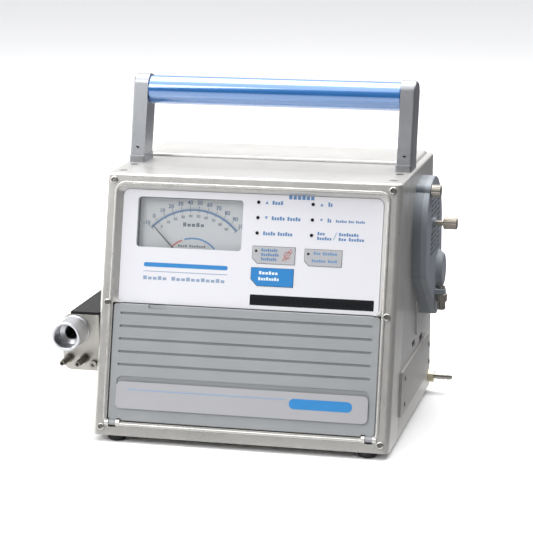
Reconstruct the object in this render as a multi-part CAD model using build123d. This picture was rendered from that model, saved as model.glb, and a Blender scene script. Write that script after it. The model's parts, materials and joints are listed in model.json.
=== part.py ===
from build123d import *
import os
from math import cos, radians, sin, tan

# Portable mechanical ventilator: a wedge-fronted metal case with a carry handle, a pressure meter,
# membrane keys, a flip-down cover over the control keys, a patient manifold on the left side and a
# gas intake on the right side.
#
# Millimetres. +X is the user's right, +Y points to the back, +Z is up. The origin lies on the
# standing surface under the middle of the whole object.
#
# Panel coordinates: many front pieces lie in the leaning front plane. There x runs to the right,
# h runs up the slope from the bottom front edge of the case, and w points out of the face.

# ---- driving dimensions -------------------------------------------------------------------------
CASE_WIDTH = 224.0
CASE_HEIGHT = 190.0
CASE_DEPTH = 198.0
FOOT_HEIGHT = 5.0
FOOT_RADIUS = 7.0
FOOT_X = 95.0
FOOT_FRONT_Y = -90.5
FOOT_BACK_Y = 84.0
LEAN = 13.5                    # degrees that the front face leans back
WALL = 3.0
FRAME_DEPTH = 35.5             # depth of the front casting, square to its face
SEAM_GAP = 0.4                 # between the front casting and the rear shell
SIDE_ROUND = 4.0               # rounding of the case's upright corners
TOP_ROUND = 1.8                # rounding of the case's top edges

OPENING_HALF = 101.5           # half width of the recess in the front casting
OPENING_BOTTOM = 10.5
OPENING_TOP = 186.5
PANEL_SPLIT = 99.2             # where the upper panel meets the cover
FRONT_WALL = 14.0              # thickness of the casting behind its face
PLATE = 2.5                    # thickness of both panel plates
UPPER_FACE = -4.0              # w of the upper panel's face
LOWER_FACE = -10.0             # w of the control panel's face
SLIP = 0.3                     # clearance around moving keys and lids

HINGE_H = 9.4                  # cover hinge axis in panel coordinates
HINGE_W = -1.0
HINGE_PIN_RADIUS = 1.2
RUNNING = 0.05                 # radial running clearance

METER = (-87.0, -6.3, 141.5, 179.0)     # x0, x1, h0, h1 of the meter window
METER_PIVOT = (-45.0, 126.8)
POINTER_LENGTH = 44.5
POINTER_REST = 135.0           # degrees from +x, counter-clockwise as seen from the front

HANDLE_INNER = 98.5            # x of the posts' inner faces
HANDLE_OUTER = 110.0
HANDLE_OFFSET = 51.0           # distance of the posts' front faces behind the front plane
HANDLE_POST_DEPTH = 22.0
HANDLE_TOP = 261.5
GRIP_RADIUS = 11.0
GRIP_Z = 248.5
ROD_RADIUS = 6.0

OUTLET_X = -130.0              # patient outlet tube
OUTLET_Z = 79.5
OUTLET_RADIUS = 11.0
OUTLET_BORE = 8.75
OUTLET_BORE_DEPTH = 14.0
OUTLET_FRONT = -103.0

FAN_X = 45.0
FAN_Z = 112.0
FAN_HALF = 30.0                # half the fan's square housing
REAR_REACH = 103.0             # how far back the rear fittings stand out

# ---- values worked out from them ----------------------------------------------------------------
HALF_WIDTH = CASE_WIDTH / 2
FRONT_Y = -CASE_DEPTH / 2
BACK_Y = CASE_DEPTH / 2
CASE_TOP = FOOT_HEIGHT + CASE_HEIGHT
INNER_BACK = BACK_Y - WALL
INNER_SIDE = HALF_WIDTH - WALL
SLOPE = tan(radians(LEAN))
COS_LEAN = cos(radians(LEAN))
SIN_LEAN = sin(radians(LEAN))
PANEL = Plane(
    origin=(0, FRONT_Y, FOOT_HEIGHT),
    x_dir=(1, 0, 0),
    z_dir=(0, -COS_LEAN, SIN_LEAN),
)


# ---- helpers ------------------------------------------------------------------------------------
def block(x0, x1, y0, y1, z0, z1):
    """A box between two corners."""
    centre = Pos((x0 + x1) / 2, (y0 + y1) / 2, (z0 + z1) / 2)
    return centre * Box(x1 - x0, y1 - y0, z1 - z0)


def rounded(x0, x1, h0, h1, w0, w1, corner):
    """A box in panel coordinates, before placing, with rounded corners in its own plane."""
    solid = block(x0, x1, h0, h1, w0, w1)
    return fillet(solid.edges().filter_by(Axis.Z), corner)


def on_panel(solid):
    """Place a solid drawn in panel coordinates (x, h, w) into the object's frame."""
    return PANEL * solid


def disc(x, h, radius, w0, w1):
    """A cylinder square to the panel, in panel coordinates."""
    return Pos(x, h, (w0 + w1) / 2) * Cylinder(radius, w1 - w0)


def cylinder_x(y, z, radius, x0, x1):
    """A cylinder along X."""
    return Pos((x0 + x1) / 2, y, z) * Rot(0, 90, 0) * Cylinder(radius, x1 - x0)


def cylinder_y(x, z, radius, y0, y1):
    """A cylinder along Y."""
    return Pos(x, (y0 + y1) / 2, z) * Rot(90, 0, 0) * Cylinder(radius, y1 - y0)


def cylinder_z(x, y, radius, z0, z1):
    """A cylinder along Z."""
    return Pos(x, y, (z0 + z1) / 2) * Cylinder(radius, z1 - z0)


def both_sides(solid):
    """The solid and its mirror image across the middle of the object."""
    return [solid, mirror(solid, Plane.YZ)]


def minus(solid, cutters):
    """Cut every solid of a list away."""
    for cutter in cutters:
        solid = solid - cutter
    return solid


def group(solids):
    """Several separate solids in one node."""
    return Compound(children=list(solids))


def hose_barb(stem_radius, bore_radius, length, ridges=3):
    """A hose tail along +Z from its seat at z = 0: a stem with saw-tooth ridges and a bore."""
    ridge_radius = stem_radius + 0.6
    pitch = (length - 3.0) / ridges
    outline = [(bore_radius, 0), (stem_radius, 0), (stem_radius, 3.0)]
    for index in range(ridges):
        start = 3.0 + index * pitch
        outline += [(ridge_radius, start), (stem_radius, start + 0.85 * pitch)]
        if index < ridges - 1:
            outline.append((stem_radius, start + pitch))
    outline += [(stem_radius, length), (bore_radius, length)]
    face = make_face(Plane.XZ * Polyline(*outline, close=True))
    return revolve(face, Axis.Z)


def knurled(radius, length, teeth):
    """A short knob along +Z from z = 0 with a fluted edge."""
    knob = Pos(0, 0, length / 2) * Cylinder(radius, length)
    knob = chamfer(knob.edges().filter_by(GeomType.CIRCLE), 0.6)
    for index in range(teeth):
        angle = 360.0 * index / teeth
        flute = Rot(0, 0, angle) * Pos(radius + 0.25, 0, length / 2) * Cylinder(0.6, length)
        knob = knob - flute
    return knob


# ---- case ---------------------------------------------------------------------------------------
def case_wedge(inset, floor):
    """The case's wedge shape, pulled in by a wall thickness, from a floor height upwards."""
    top = CASE_TOP - inset
    shift = inset / COS_LEAN

    def front(z):
        return FRONT_Y + (z - FOOT_HEIGHT) * SLOPE + shift

    back = BACK_Y - inset
    outline = [(front(floor), floor), (front(top), top), (back, top), (back, floor)]
    points = [(0, y, z) for y, z in outline]
    face = make_face(Polyline(*points, close=True))
    return extrude(face, HALF_WIDTH - inset, dir=(1, 0, 0), both=True)


def case_envelope():
    """The closed outside shape of the case with its rounded edges."""
    solid = case_wedge(0, FOOT_HEIGHT)
    uprights = [
        edge
        for edge in solid.edges()
        if abs(abs(edge.center().X) - HALF_WIDTH) < 0.1
        and FOOT_HEIGHT + 10 < edge.center().Z < CASE_TOP - 1
    ]
    solid = fillet(uprights, SIDE_ROUND)
    top_edges = solid.edges().filter_by(lambda edge: edge.bounding_box().min.Z > CASE_TOP - 0.1)
    return fillet(top_edges, TOP_ROUND)


def panel_region(w0, w1):
    """A slab parallel to the front plane that spans the whole object."""
    return on_panel(block(-200, 200, -100, 400, w0, w1))


def screw_places():
    """The six screws round the front casting, in panel coordinates."""
    return [(side * 105.5, h) for side in (-1, 1) for h in (6.0, 98.8, 190.5)]


def frame_screw(x, h):
    """A pan-head screw with a hexagon socket in the front casting."""
    head = disc(x, h, 2.7, 0, 1.7)
    head = fillet(head.edges().group_by(Axis.Z)[-1], 0.9)
    socket = Pos(x, h, 0.8) * extrude(RegularPolygon(1.5, 6), 2)
    return head - socket + disc(x, h, 1.5, -9, 0)


def top_screw_places():
    """The four countersunk screws in the case's top."""
    return [(side * 103.0, y) for side in (-1, 1) for y in (-39.0, -11.0)]


def top_screw(x, y, slack=0.0):
    """A countersunk screw flush with the top of the case; slack widens it into its own hole."""
    cone = Pos(x, y, CASE_TOP - 1.0) * Cone(1.6 + slack, 3.2 + slack, 2.0)
    return cone + cylinder_z(x, y, 1.5 + slack, CASE_TOP - 9, CASE_TOP - 1.9)


def rear_screw_places():
    """The four screws in the back wall (x, z)."""
    return [(side * 103.0, z) for side in (-1, 1) for z in (22.0, 176.0)]


def handle_screw_places():
    """The screws that hold the handle posts from inside the case (x, y)."""
    return [(side * 104.0, y) for side in (-1, 1) for y in (4.0, 14.0)]


def hinge_axis_cylinder(radius, x0, x1):
    """A cylinder about the cover's hinge axis, in panel coordinates."""
    return Pos((x0 + x1) / 2, HINGE_H, HINGE_W) * Rot(0, 90, 0) * Cylinder(radius, x1 - x0)


def make_front_frame():
    """The cast front casing: a deep frame with a beaded rim, ledges for both panels and hinge ears."""
    frame = case_envelope() & panel_region(-FRAME_DEPTH, 20)
    cavity = case_wedge(WALL, FOOT_HEIGHT + WALL) & panel_region(-FRAME_DEPTH - 5, -FRONT_WALL)
    frame = frame - cavity
    plate_half = OPENING_HALF - 2.6
    plate_back = UPPER_FACE - PLATE
    cuts = [
        rounded(-OPENING_HALF, OPENING_HALF, OPENING_BOTTOM, PANEL_SPLIT, LOWER_FACE - PLATE, 1, 2),
        block(-plate_half, plate_half, PANEL_SPLIT - 4, PANEL_SPLIT + 8, plate_back, UPPER_FACE + 0.1),
        block(-OPENING_HALF, OPENING_HALF, PANEL_SPLIT - 4, PANEL_SPLIT, LOWER_FACE - PLATE, 1),
        rounded(-97, 97, 15, 94, -FRONT_WALL - 1, 0, 2),
        rounded(-96, 96, 104, 181.5, -FRONT_WALL - 1, 0, 2),
    ]
    wide = Pos(0, (PANEL_SPLIT + OPENING_TOP) / 2, 0.01) * RectangleRounded(
        2 * OPENING_HALF + 1, OPENING_TOP - PANEL_SPLIT, 6
    )
    low = Pos(0, (PANEL_SPLIT + OPENING_TOP) / 2 - 1.0, UPPER_FACE) * RectangleRounded(
        2 * OPENING_HALF - 5, OPENING_TOP - PANEL_SPLIT - 2, 5
    )
    cuts.append(loft([low, wide]))
    plate_top = OPENING_TOP - 2
    cuts.append(rounded(-plate_half, plate_half, PANEL_SPLIT, plate_top, plate_back, UPPER_FACE + 0.1, 5))
    bead_middle = (OPENING_BOTTOM + OPENING_TOP) / 2
    bead = Pos(0, bead_middle, 0.4) * extrude(
        RectangleRounded(2 * OPENING_HALF + 5.4, OPENING_TOP - OPENING_BOTTOM + 6.4, 8)
        - RectangleRounded(2 * OPENING_HALF + 1.4, OPENING_TOP - OPENING_BOTTOM + 2.4, 6.5),
        0.8,
        both=True,
    )
    bead = fillet(bead.edges().group_by(Axis.Z)[-1], 0.7)
    ear_inner = hinge_axis_cylinder(2.6, 91.5, 94.0)
    ear_outer = hinge_axis_cylinder(2.6, 100.0, 102.5)
    ears = both_sides(ear_inner) + both_sides(ear_outer)
    solid = frame - group([on_panel(cut) for cut in cuts])
    solid = solid + on_panel(bead)
    for ear in ears:
        solid = solid + on_panel(ear)
    pocket = hinge_axis_cylinder(3.3, 94.0, 100.0) + block(94.0, 100.0, HINGE_H, 14, -6, 4)
    bore = hinge_axis_cylinder(HINGE_PIN_RADIUS + 0.01, 91.6, 102.4)
    solid = minus(solid, [on_panel(item) for item in both_sides(pocket) + both_sides(bore)])
    solid = minus(solid, [on_panel(disc(x, h, 1.51, -9.1, 1)) for x, h in screw_places()])
    solid = minus(solid, [on_panel(disc(x, h, 3.0, 0, 2)) for x, h in screw_places()])
    return minus(solid, [top_screw(x, y, 0.02) for x, y in top_screw_places() if y < -20])


WALL_SLOTS = [(1.5, 58.2), (38.0, 54.6)]    # y, z of the lower front corner of each slot
DOOR_SCREWS = [(-39.5, 26.5), (-37.0, 45.5), (79.0, 29.0), (79.0, 43.0)]    # y, z


def vent_slots():
    """Ventilation slots in the back wall, left of the fan."""
    return [block(-92 + 7 * i, -89 + 7 * i, BACK_Y - 5, BACK_Y + 5, 90, 140) for i in range(9)]


def make_rear_shell():
    """The sides, top and back of the case, open to the front and to the base."""
    outside = case_envelope() & panel_region(-400, -FRAME_DEPTH - SEAM_GAP)
    raised = block(-107, 107, 31, BACK_Y - 3, CASE_TOP - 1, CASE_TOP + 2.4)
    raised = fillet(raised.edges().group_by(Axis.Z)[-1] + raised.edges().filter_by(Axis.Z), 2.2)
    guide_rib = block(HALF_WIDTH - 1, HALF_WIDTH + 1.2, 18.5, 20.5, 65, 92)
    shell = outside + raised + guide_rib - case_wedge(WALL, FOOT_HEIGHT - 1)
    cuts = [
        cylinder_y(FAN_X, FAN_Z, 27, BACK_Y - 5, BACK_Y + 5),
        block(-74.1, -45.9, BACK_Y - 5, BACK_Y + 5, 33.9, 54.1),
        cylinder_x(30, 142, 24, HALF_WIDTH - 5, HALF_WIDTH + 5),
        cylinder_x(25, 77, 9.2, -HALF_WIDTH - 5, -HALF_WIDTH + 5),
        cylinder_x(91, 13.5, 3.02, HALF_WIDTH - 5, HALF_WIDTH + 5),
        block(HALF_WIDTH - 5, HALF_WIDTH + 5, -24, 76, 24, 48),
    ]
    cuts += [block(HALF_WIDTH - 5, HALF_WIDTH + 5, y, y + 15, z, z + 5) for y, z in WALL_SLOTS]
    cuts += [cylinder_x(y, z, 1.22, HALF_WIDTH - 5, HALF_WIDTH + 5) for y, z in DOOR_SCREWS]
    cuts += vent_slots()
    cuts += [cylinder_y(x, z, 2.02, BACK_Y - 5, BACK_Y + 5) for x, z in rear_screw_places()]
    cuts += [cylinder_z(x, y, 2.52, CASE_TOP - 5, CASE_TOP + 5) for x, y in handle_screw_places()]
    cuts += [top_screw(x, y, 0.02) for x, y in top_screw_places() if y > -20]
    return minus(shell, cuts)


def foot_places():
    """The four feet (x, y)."""
    return [(side * FOOT_X, y) for side in (-1, 1) for y in (FOOT_FRONT_Y, FOOT_BACK_Y)]


def make_base_plate():
    """The flat bottom plate of the rear shell."""
    front = FRONT_Y + (FRAME_DEPTH + SEAM_GAP) / COS_LEAN + WALL * SLOPE
    floor = FOOT_HEIGHT
    plate = block(-INNER_SIDE + 0.1, INNER_SIDE - 0.1, front, INNER_BACK - 0.1, floor, floor + WALL)
    return minus(plate, [cylinder_z(x, y, 2.02, 0, 20) for x, y in foot_places() if y > 0])


def make_feet():
    """Four rubber feet, each with its screw stem cast in."""
    feet = []
    for x, y in foot_places():
        pad = cylinder_z(x, y, FOOT_RADIUS, 0, FOOT_HEIGHT)
        pad = fillet(pad.edges().group_by(Axis.Z)[0], 2.2)
        feet.append(pad)
    return group(feet)


def make_chassis_tray():
    """The inner metal table: a tray on two legs with posts for the main board."""
    tray = block(-100, 100, -30, 82, 60, 61.5)
    legs = block(-100, 100, -30, -28.5, 8, 60) + block(-100, 100, 80.5, 82, 8, 60)
    posts = [cylinder_z(x, y, 3, 61.5, 150) for x in (8, 92) for y in (-4, 70)]
    solid = tray + legs
    for post in posts:
        solid = solid + post
    return solid


# ---- upper panel --------------------------------------------------------------------------------
LED_PLACES = [(x, h) for x in (5.1, 46.1) for h in (178.3, 166.9, 155.6)]
UPPER_KEYS = {
    "silence_key": (2.5, 34.6, 133.3, 145.9, 4.0),
    "battery_key": (41.8, 69.6, 133.3, 145.4, 3.5),
    "manual_key": (2.2, 34.1, 116.8, 130.0, 5.0),
}
DISPLAY = (2.2, 95.0, 102.4, 110.2)


def key_outline(x0, x1, h0, h1, chamfer_size, grow):
    """The face of a membrane key, square or with a chamfer at its lower left corner."""
    left, right, low, high = x0 - grow, x1 + grow, h0 - grow, h1 + grow
    corner = [(left, low)]
    if chamfer_size:
        corner = [(left, low + chamfer_size), (left + chamfer_size, low)]
    return make_face(Polyline((left, high), *corner, (right, low), (right, high), close=True))


def key_slab(key, grow, w0, w1):
    """A slab with a key's outline between two depths, in panel coordinates."""
    return Pos(0, 0, w0) * extrude(key_outline(*key, grow), w1 - w0)


def make_upper_panel():
    """The white panel plate with its cut-outs."""
    plate = block(-98.6, 98.6, PANEL_SPLIT + 0.3, OPENING_TOP - 2.3, UPPER_FACE - PLATE, UPPER_FACE)
    upper_corners = [edge for edge in plate.edges().filter_by(Axis.Z) if edge.center().Y > 150]
    plate = fillet(upper_corners, 5)
    x0, x1, h0, h1 = METER
    cuts = [rounded(x0, x1, h0, h1, -10, 0, 2.5)]
    cuts += [disc(x, h, 1.32, -10, 0) for x, h in LED_PLACES]
    cuts += [key_slab(key, SLIP, -10, 0) for key in UPPER_KEYS.values()]
    cuts.append(rounded(*DISPLAY, -10, 0, 0.5))
    return on_panel(minus(plate, cuts))


def make_upper_key(key):
    """A membrane key: a cap through the panel and a wider flange behind it."""
    cap = key_slab(key, 0, UPPER_FACE - PLATE - 0.1, UPPER_FACE + 0.35)
    cap = fillet(cap.edges().group_by(Axis.Z)[-1], 0.25)
    flange = key_slab(key, 0.7, UPPER_FACE - PLATE - 0.9, UPPER_FACE - PLATE - 0.1)
    return on_panel(cap + flange)


def make_indicator_leds():
    """Six alarm lamps, domed lenses with a body behind the panel."""
    lamps = []
    for x, h in LED_PLACES:
        lens = disc(x, h, 1.3, UPPER_FACE - PLATE, UPPER_FACE + 0.5)
        lens = fillet(lens.edges().group_by(Axis.Z)[-1], 0.45)
        lamps.append(on_panel(lens + disc(x, h, 2.2, UPPER_FACE - PLATE - 3, UPPER_FACE - PLATE)))
    return group(lamps)


def make_display_window():
    """The dark message window with the display block behind it."""
    x0, x1, h0, h1 = DISPLAY
    lens = rounded(x0 + 0.02, x1 - 0.02, h0 + 0.02, h1 - 0.02, UPPER_FACE - PLATE, UPPER_FACE + 0.1, 0.5)
    back = block(x0 + 1, x1 - 1.5, 104.2, h1 - 0.5, UPPER_FACE - PLATE - 5, UPPER_FACE - PLATE)
    return on_panel(lens + back)


# ---- pressure meter -----------------------------------------------------------------------------
METER_BACK = -30.0
DIAL_FACE = -11.0


def make_meter_case():
    """The open-fronted box of the pressure meter with the movement's bearing boss."""
    x0, x1, _, h1 = METER
    outer = block(x0 - 1.4, x1 + 1.4, 114, h1 + 1.4, METER_BACK, UPPER_FACE - PLATE)
    inner = block(x0, x1, 115.4, h1, METER_BACK + 1.4, 0)
    pivot_x, pivot_h = METER_PIVOT
    boss = disc(pivot_x, pivot_h, 9, METER_BACK + 1, -14)
    bore = disc(pivot_x, pivot_h, 1 + RUNNING, -24, 0)
    return on_panel(outer - inner + boss - bore)


def make_meter_dial():
    """The dial plate, with a hole for the pointer's shaft."""
    x0, x1, _, h1 = METER
    plate = block(x0 + 0.2, x1 - 0.2, 115.6, h1 - 0.2, DIAL_FACE - 1, DIAL_FACE)
    posts = [disc(x, 118.5, 1.5, METER_BACK + 1.4, DIAL_FACE - 1) for x in (x0 + 5, x1 - 5)]
    for post in posts:
        plate = plate + post
    return on_panel(plate - disc(*METER_PIVOT, 1.6, -20, 0))


def make_meter_window():
    """The clear window of the meter."""
    x0, x1, h0, h1 = METER
    return on_panel(rounded(x0 + 0.02, x1 - 0.02, h0 + 0.02, h1 - 0.02, -5.9, -4.5, 2.5))


def make_meter_pointer():
    """The pointer with its hub, balance tail and shaft, lying at the left end of the scale."""
    tip = POINTER_LENGTH
    outline = [(-9, -1.6), (-4, -0.9), (tip, -0.3), (tip, 0.3), (-4, 0.9), (-9, 1.6)]
    blade = extrude(make_face(Polyline(*outline, close=True)), 0.6)
    hub = Pos(0, 0, 0.2) * Cylinder(2.6, 1.6)
    shaft = Pos(0, 0, -6.3) * Cylinder(1.0, 13.0)
    pointer = Rot(0, 0, POINTER_REST) * (blade + hub + shaft)
    return on_panel(Pos(METER_PIVOT[0], METER_PIVOT[1], DIAL_FACE + 1.8) * pointer)


# ---- control panel under the cover --------------------------------------------------------------
LOWER_KEYS = {
    "mode_key": (-92, -66, 32, 44, 0.0),
    "rate_key": (-60, -34, 32, 44, 0.0),
    "volume_key": (-28, -2, 32, 44, 0.0),
    "pressure_key": (4, 30, 32, 44, 0.0),
    "up_key": (44, 64, 56, 70, 0.0),
    "down_key": (44, 64, 34, 48, 0.0),
    "standby_key": (74, 90, 44, 60, 0.0),
}
SETTING_WINDOW = (-92.0, 30.0, 56.0, 72.0)
BOARD_FACE = -17.0


def make_control_panel():
    """The lower panel plate with its key openings and the posts that carry the keypad board."""
    low, high = OPENING_BOTTOM + 0.3, PANEL_SPLIT - 0.3
    half = OPENING_HALF - 0.2
    plate = rounded(-half, half, low, high, LOWER_FACE - PLATE, LOWER_FACE, 1.8)
    cuts = [key_slab(key, SLIP, -14, 0) for key in LOWER_KEYS.values()]
    cuts.append(rounded(*SETTING_WINDOW, -14, 0, 1.5))
    plate = minus(plate, cuts)
    for x in (-88, 0, 92):
        for h in (22, 86):
            plate = plate + disc(x, h, 2.5, BOARD_FACE, LOWER_FACE - PLATE)
    return on_panel(plate)


def make_lower_key(key):
    """A control key: a rounded cap, a flange behind the panel and a plunger towards the board."""
    x0, x1, h0, h1, _ = key
    cap = rounded(x0, x1, h0, h1, LOWER_FACE - PLATE - 0.1, LOWER_FACE + 1.0, 2)
    cap = fillet(cap.edges().group_by(Axis.Z)[-1], 0.5)
    flange = block(x0 - 0.8, x1 + 0.8, h0 - 0.8, h1 + 0.8, LOWER_FACE - PLATE - 1.1, LOWER_FACE - PLATE - 0.1)
    plunger = disc((x0 + x1) / 2, (h0 + h1) / 2, 2, BOARD_FACE + 1.3, LOWER_FACE - PLATE - 1)
    return on_panel(cap + flange + plunger)


def make_setting_window():
    """The dark window over the setting digits."""
    x0, x1, h0, h1 = SETTING_WINDOW
    window = rounded(x0 + 0.02, x1 - 0.02, h0 + 0.02, h1 - 0.02, LOWER_FACE - PLATE, LOWER_FACE + 0.2, 1.48)
    return on_panel(window)


def make_keypad_board():
    """The circuit board behind the control keys."""
    board = block(-94, 95, 17, 92, BOARD_FACE - 1.6, BOARD_FACE)
    for x in (-60, -20, 20, 60):
        board = board + block(x - 8, x + 8, 56, 68, BOARD_FACE - 4, BOARD_FACE - 1.5)
    return on_panel(board)


# ---- cover --------------------------------------------------------------------------------------
COVER_HALF = 100.9
COVER_LOW = 11.2
COVER_HIGH = 98.7
COVER_BACK = -4.6
COVER_FRONT = -1.1
GROOVE_TOP = 91.4
GROOVE_PITCH = 9.55
GROOVE_COUNT = 5


def make_front_cover():
    """The flip-down cover with its grip grooves, sunk band and hinge knuckles."""
    cover = rounded(-COVER_HALF, COVER_HALF, COVER_LOW, COVER_HIGH, COVER_BACK, COVER_FRONT, 2.5)
    cover = fillet(cover.edges().group_by(Axis.Z)[-1], 0.8)
    for index in range(GROOVE_COUNT):
        h = GROOVE_TOP - index * GROOVE_PITCH
        cover = cover - rounded(-95.5, 95.5, h - 0.9, h + 0.9, COVER_FRONT - 1.2, 1, 0.85)
    cover = cover - rounded(-95.5, 95.5, 24.0, 44.5, COVER_FRONT - 0.8, 1, 4.0)
    cover = cover - rounded(-74, -60, COVER_HIGH - 3.2, COVER_HIGH + 4, COVER_FRONT - 1.2, 1, 1.5)
    notch = hinge_axis_cylinder(3.4, 90.8, 101.5)
    cover = minus(cover, both_sides(notch))
    knuckle = hinge_axis_cylinder(1.9, 94.3, 99.7)
    neck = block(94.3, 99.7, HINGE_H, HINGE_H + 4.5, COVER_BACK + 1.6, COVER_FRONT)
    bore = hinge_axis_cylinder(HINGE_PIN_RADIUS + RUNNING, 90, 103)
    for solid in both_sides(knuckle) + both_sides(neck):
        cover = cover + solid
    return on_panel(minus(cover, both_sides(bore)))


def make_cover_hinge_pins():
    """The two steel pins of the cover's hinge."""
    pin = hinge_axis_cylinder(HINGE_PIN_RADIUS, 91.7, 102.3)
    return group([on_panel(solid) for solid in both_sides(pin)])


# ---- handle -------------------------------------------------------------------------------------
GRIP_Y = FRONT_Y + (GRIP_Z - FOOT_HEIGHT) * SLOPE + (HANDLE_OFFSET + HANDLE_POST_DEPTH / 2) / COS_LEAN


def make_handle_post():
    """The right post of the handle: a leaning bar with a rounded head and a small foot."""
    back_offset = HANDLE_OFFSET + HANDLE_POST_DEPTH
    head = (HANDLE_TOP - FOOT_HEIGHT + (HANDLE_OFFSET + 6) * SIN_LEAN) / COS_LEAN
    bar = block(HANDLE_INNER, HANDLE_OUTER, 150, head, -back_offset, -HANDLE_OFFSET)
    head_edges = bar.edges().filter_by(Axis.X).group_by(Axis.Y)[-1]
    bar = fillet(head_edges, 8.5)
    bar = fillet(bar.edges().group_by(Axis.X)[-1], 1.6)
    bar = on_panel(bar) & block(0, 200, -200, 200, CASE_TOP, 300)
    foot_front = FRONT_Y + CASE_HEIGHT * SLOPE + HANDLE_OFFSET / COS_LEAN
    foot = block(HANDLE_INNER - 1, HANDLE_OUTER, foot_front - 1, foot_front + 24, CASE_TOP, CASE_TOP + 5)
    foot = fillet(foot.edges().filter_by(Axis.Z), 1.5)
    bore = cylinder_x(GRIP_Y, GRIP_Z, ROD_RADIUS + 0.02, HANDLE_INNER - 5, HANDLE_INNER + 7)
    threads = [cylinder_z(x, y, 2.52, CASE_TOP - 1, CASE_TOP + 12) for x, y in handle_screw_places()]
    return minus(bar + foot, [bore] + threads)


def make_handle_rod():
    """The steel rod inside the grip."""
    return cylinder_x(GRIP_Y, GRIP_Z, ROD_RADIUS, -HANDLE_INNER - 6.5, HANDLE_INNER + 6.5)


def make_handle_grip():
    """The round sleeve over the rod."""
    half = HANDLE_INNER - 0.1
    sleeve = cylinder_x(GRIP_Y, GRIP_Z, GRIP_RADIUS, -half, half)
    sleeve = fillet(sleeve.edges().filter_by(GeomType.CIRCLE), 0.8)
    return sleeve - cylinder_x(GRIP_Y, GRIP_Z, ROD_RADIUS + 0.02, -half - 1, half + 1)


def make_handle_screws():
    """Screws through the case's top into the handle posts."""
    screws = []
    for x, y in handle_screw_places():
        shank = cylinder_z(x, y, 2.5, CASE_TOP - WALL - 0.5, CASE_TOP + 11)
        screws.append(shank + cylinder_z(x, y, 4.2, CASE_TOP - WALL - 4, CASE_TOP - WALL))
    return group(screws)


# ---- left side: patient manifold ----------------------------------------------------------------
MANIFOLD_LEFT = -140.5
MANIFOLD_FRONT = -78.5
MANIFOLD_BACK = 42.0
MANIFOLD_LOW = 48.0
MANIFOLD_HIGH = 91.0
MANIFOLD_SCREW = (-116.0, 53.5)   # x, z
BARB_PLACES = {"pressure_barb": (-135.0, 57.5), "valve_barb": (-123.0, 57.5)}


def make_manifold_block():
    """The machined block on the left side with its passages."""
    body = block(
        MANIFOLD_LEFT, -HALF_WIDTH, MANIFOLD_FRONT, MANIFOLD_BACK, MANIFOLD_LOW, MANIFOLD_HIGH
    )
    left_edges = [edge for edge in body.edges().filter_by(Axis.Y) if edge.center().X < -130]
    body = fillet(left_edges, 7)
    bed = case_envelope()
    body = body - bed
    cuts = [
        cylinder_y(OUTLET_X, OUTLET_Z, 9.52, MANIFOLD_FRONT - 1, MANIFOLD_FRONT + 8),
        cylinder_y(OUTLET_X, OUTLET_Z, 6.0, MANIFOLD_FRONT, 30),
        cylinder_x(25, 77, 6.0, OUTLET_X, -HALF_WIDTH + 5),
    ]
    for x, z in BARB_PLACES.values():
        cuts.append(cylinder_y(x, z, 2.02, MANIFOLD_FRONT - 1, MANIFOLD_FRONT + 6))
    cuts.append(cylinder_y(*MANIFOLD_SCREW, 1.52, MANIFOLD_FRONT - 1, MANIFOLD_FRONT + 9))
    return minus(body, cuts)


def make_manifold_lid():
    """The dark cover plate on top of the manifold block."""
    left, front = MANIFOLD_LEFT + 6.5, MANIFOLD_FRONT + 0.8
    plate = block(left, -HALF_WIDTH, front, MANIFOLD_BACK, MANIFOLD_HIGH, MANIFOLD_HIGH + 2)
    return plate - case_envelope()


def make_patient_outlet():
    """The 22 mm outlet tube with its stepped bore and the seat that goes into the block."""
    outline = [
        (5.5, MANIFOLD_FRONT + 7.5),
        (9.5, MANIFOLD_FRONT + 7.5),
        (9.5, MANIFOLD_FRONT),
        (OUTLET_RADIUS + 0.5, MANIFOLD_FRONT),
        (OUTLET_RADIUS + 0.5, MANIFOLD_FRONT - 4.0),
        (OUTLET_RADIUS, MANIFOLD_FRONT - 4.5),
        (OUTLET_RADIUS, OUTLET_FRONT + 0.6),
        (OUTLET_RADIUS - 0.6, OUTLET_FRONT),
        (OUTLET_BORE + 0.5, OUTLET_FRONT),
        (OUTLET_BORE, OUTLET_FRONT + 0.5),
        (OUTLET_BORE, OUTLET_FRONT + OUTLET_BORE_DEPTH),
        (5.5, OUTLET_FRONT + OUTLET_BORE_DEPTH + 1.5),
    ]
    profile = Plane(origin=(OUTLET_X, 0, OUTLET_Z), x_dir=(0, 0, 1), z_dir=(-1, 0, 0))
    face = make_face(profile * Polyline(*[(r, y) for r, y in outline], close=True))
    solid = revolve(face, Axis((OUTLET_X, 0, OUTLET_Z), (0, 1, 0)))
    return solid - case_envelope()


def make_barb(x, z):
    """A small hose barb that points forward out of the manifold block."""
    tail = hose_barb(1.9, 1.0, 19.0)
    seat = Pos(0, 0, -2.5) * (Cylinder(2.0, 5.0) - Cylinder(1.0, 6.0))
    collar = Pos(0, 0, 1.25) * (Cylinder(3.4, 2.5) - Cylinder(1.0, 3.0))
    return Pos(x, MANIFOLD_FRONT, z) * Rot(90, 0, 0) * (tail + seat + collar)


def make_manifold_screw():
    """The dark socket-head screw in the lower corner of the block."""
    head = cylinder_y(*MANIFOLD_SCREW, 2.8, MANIFOLD_FRONT - 3.5, MANIFOLD_FRONT)
    socket = cylinder_y(*MANIFOLD_SCREW, 1.4, MANIFOLD_FRONT - 5, MANIFOLD_FRONT - 1.8)
    return head - socket + cylinder_y(*MANIFOLD_SCREW, 1.5, MANIFOLD_FRONT, MANIFOLD_FRONT + 8)


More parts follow.
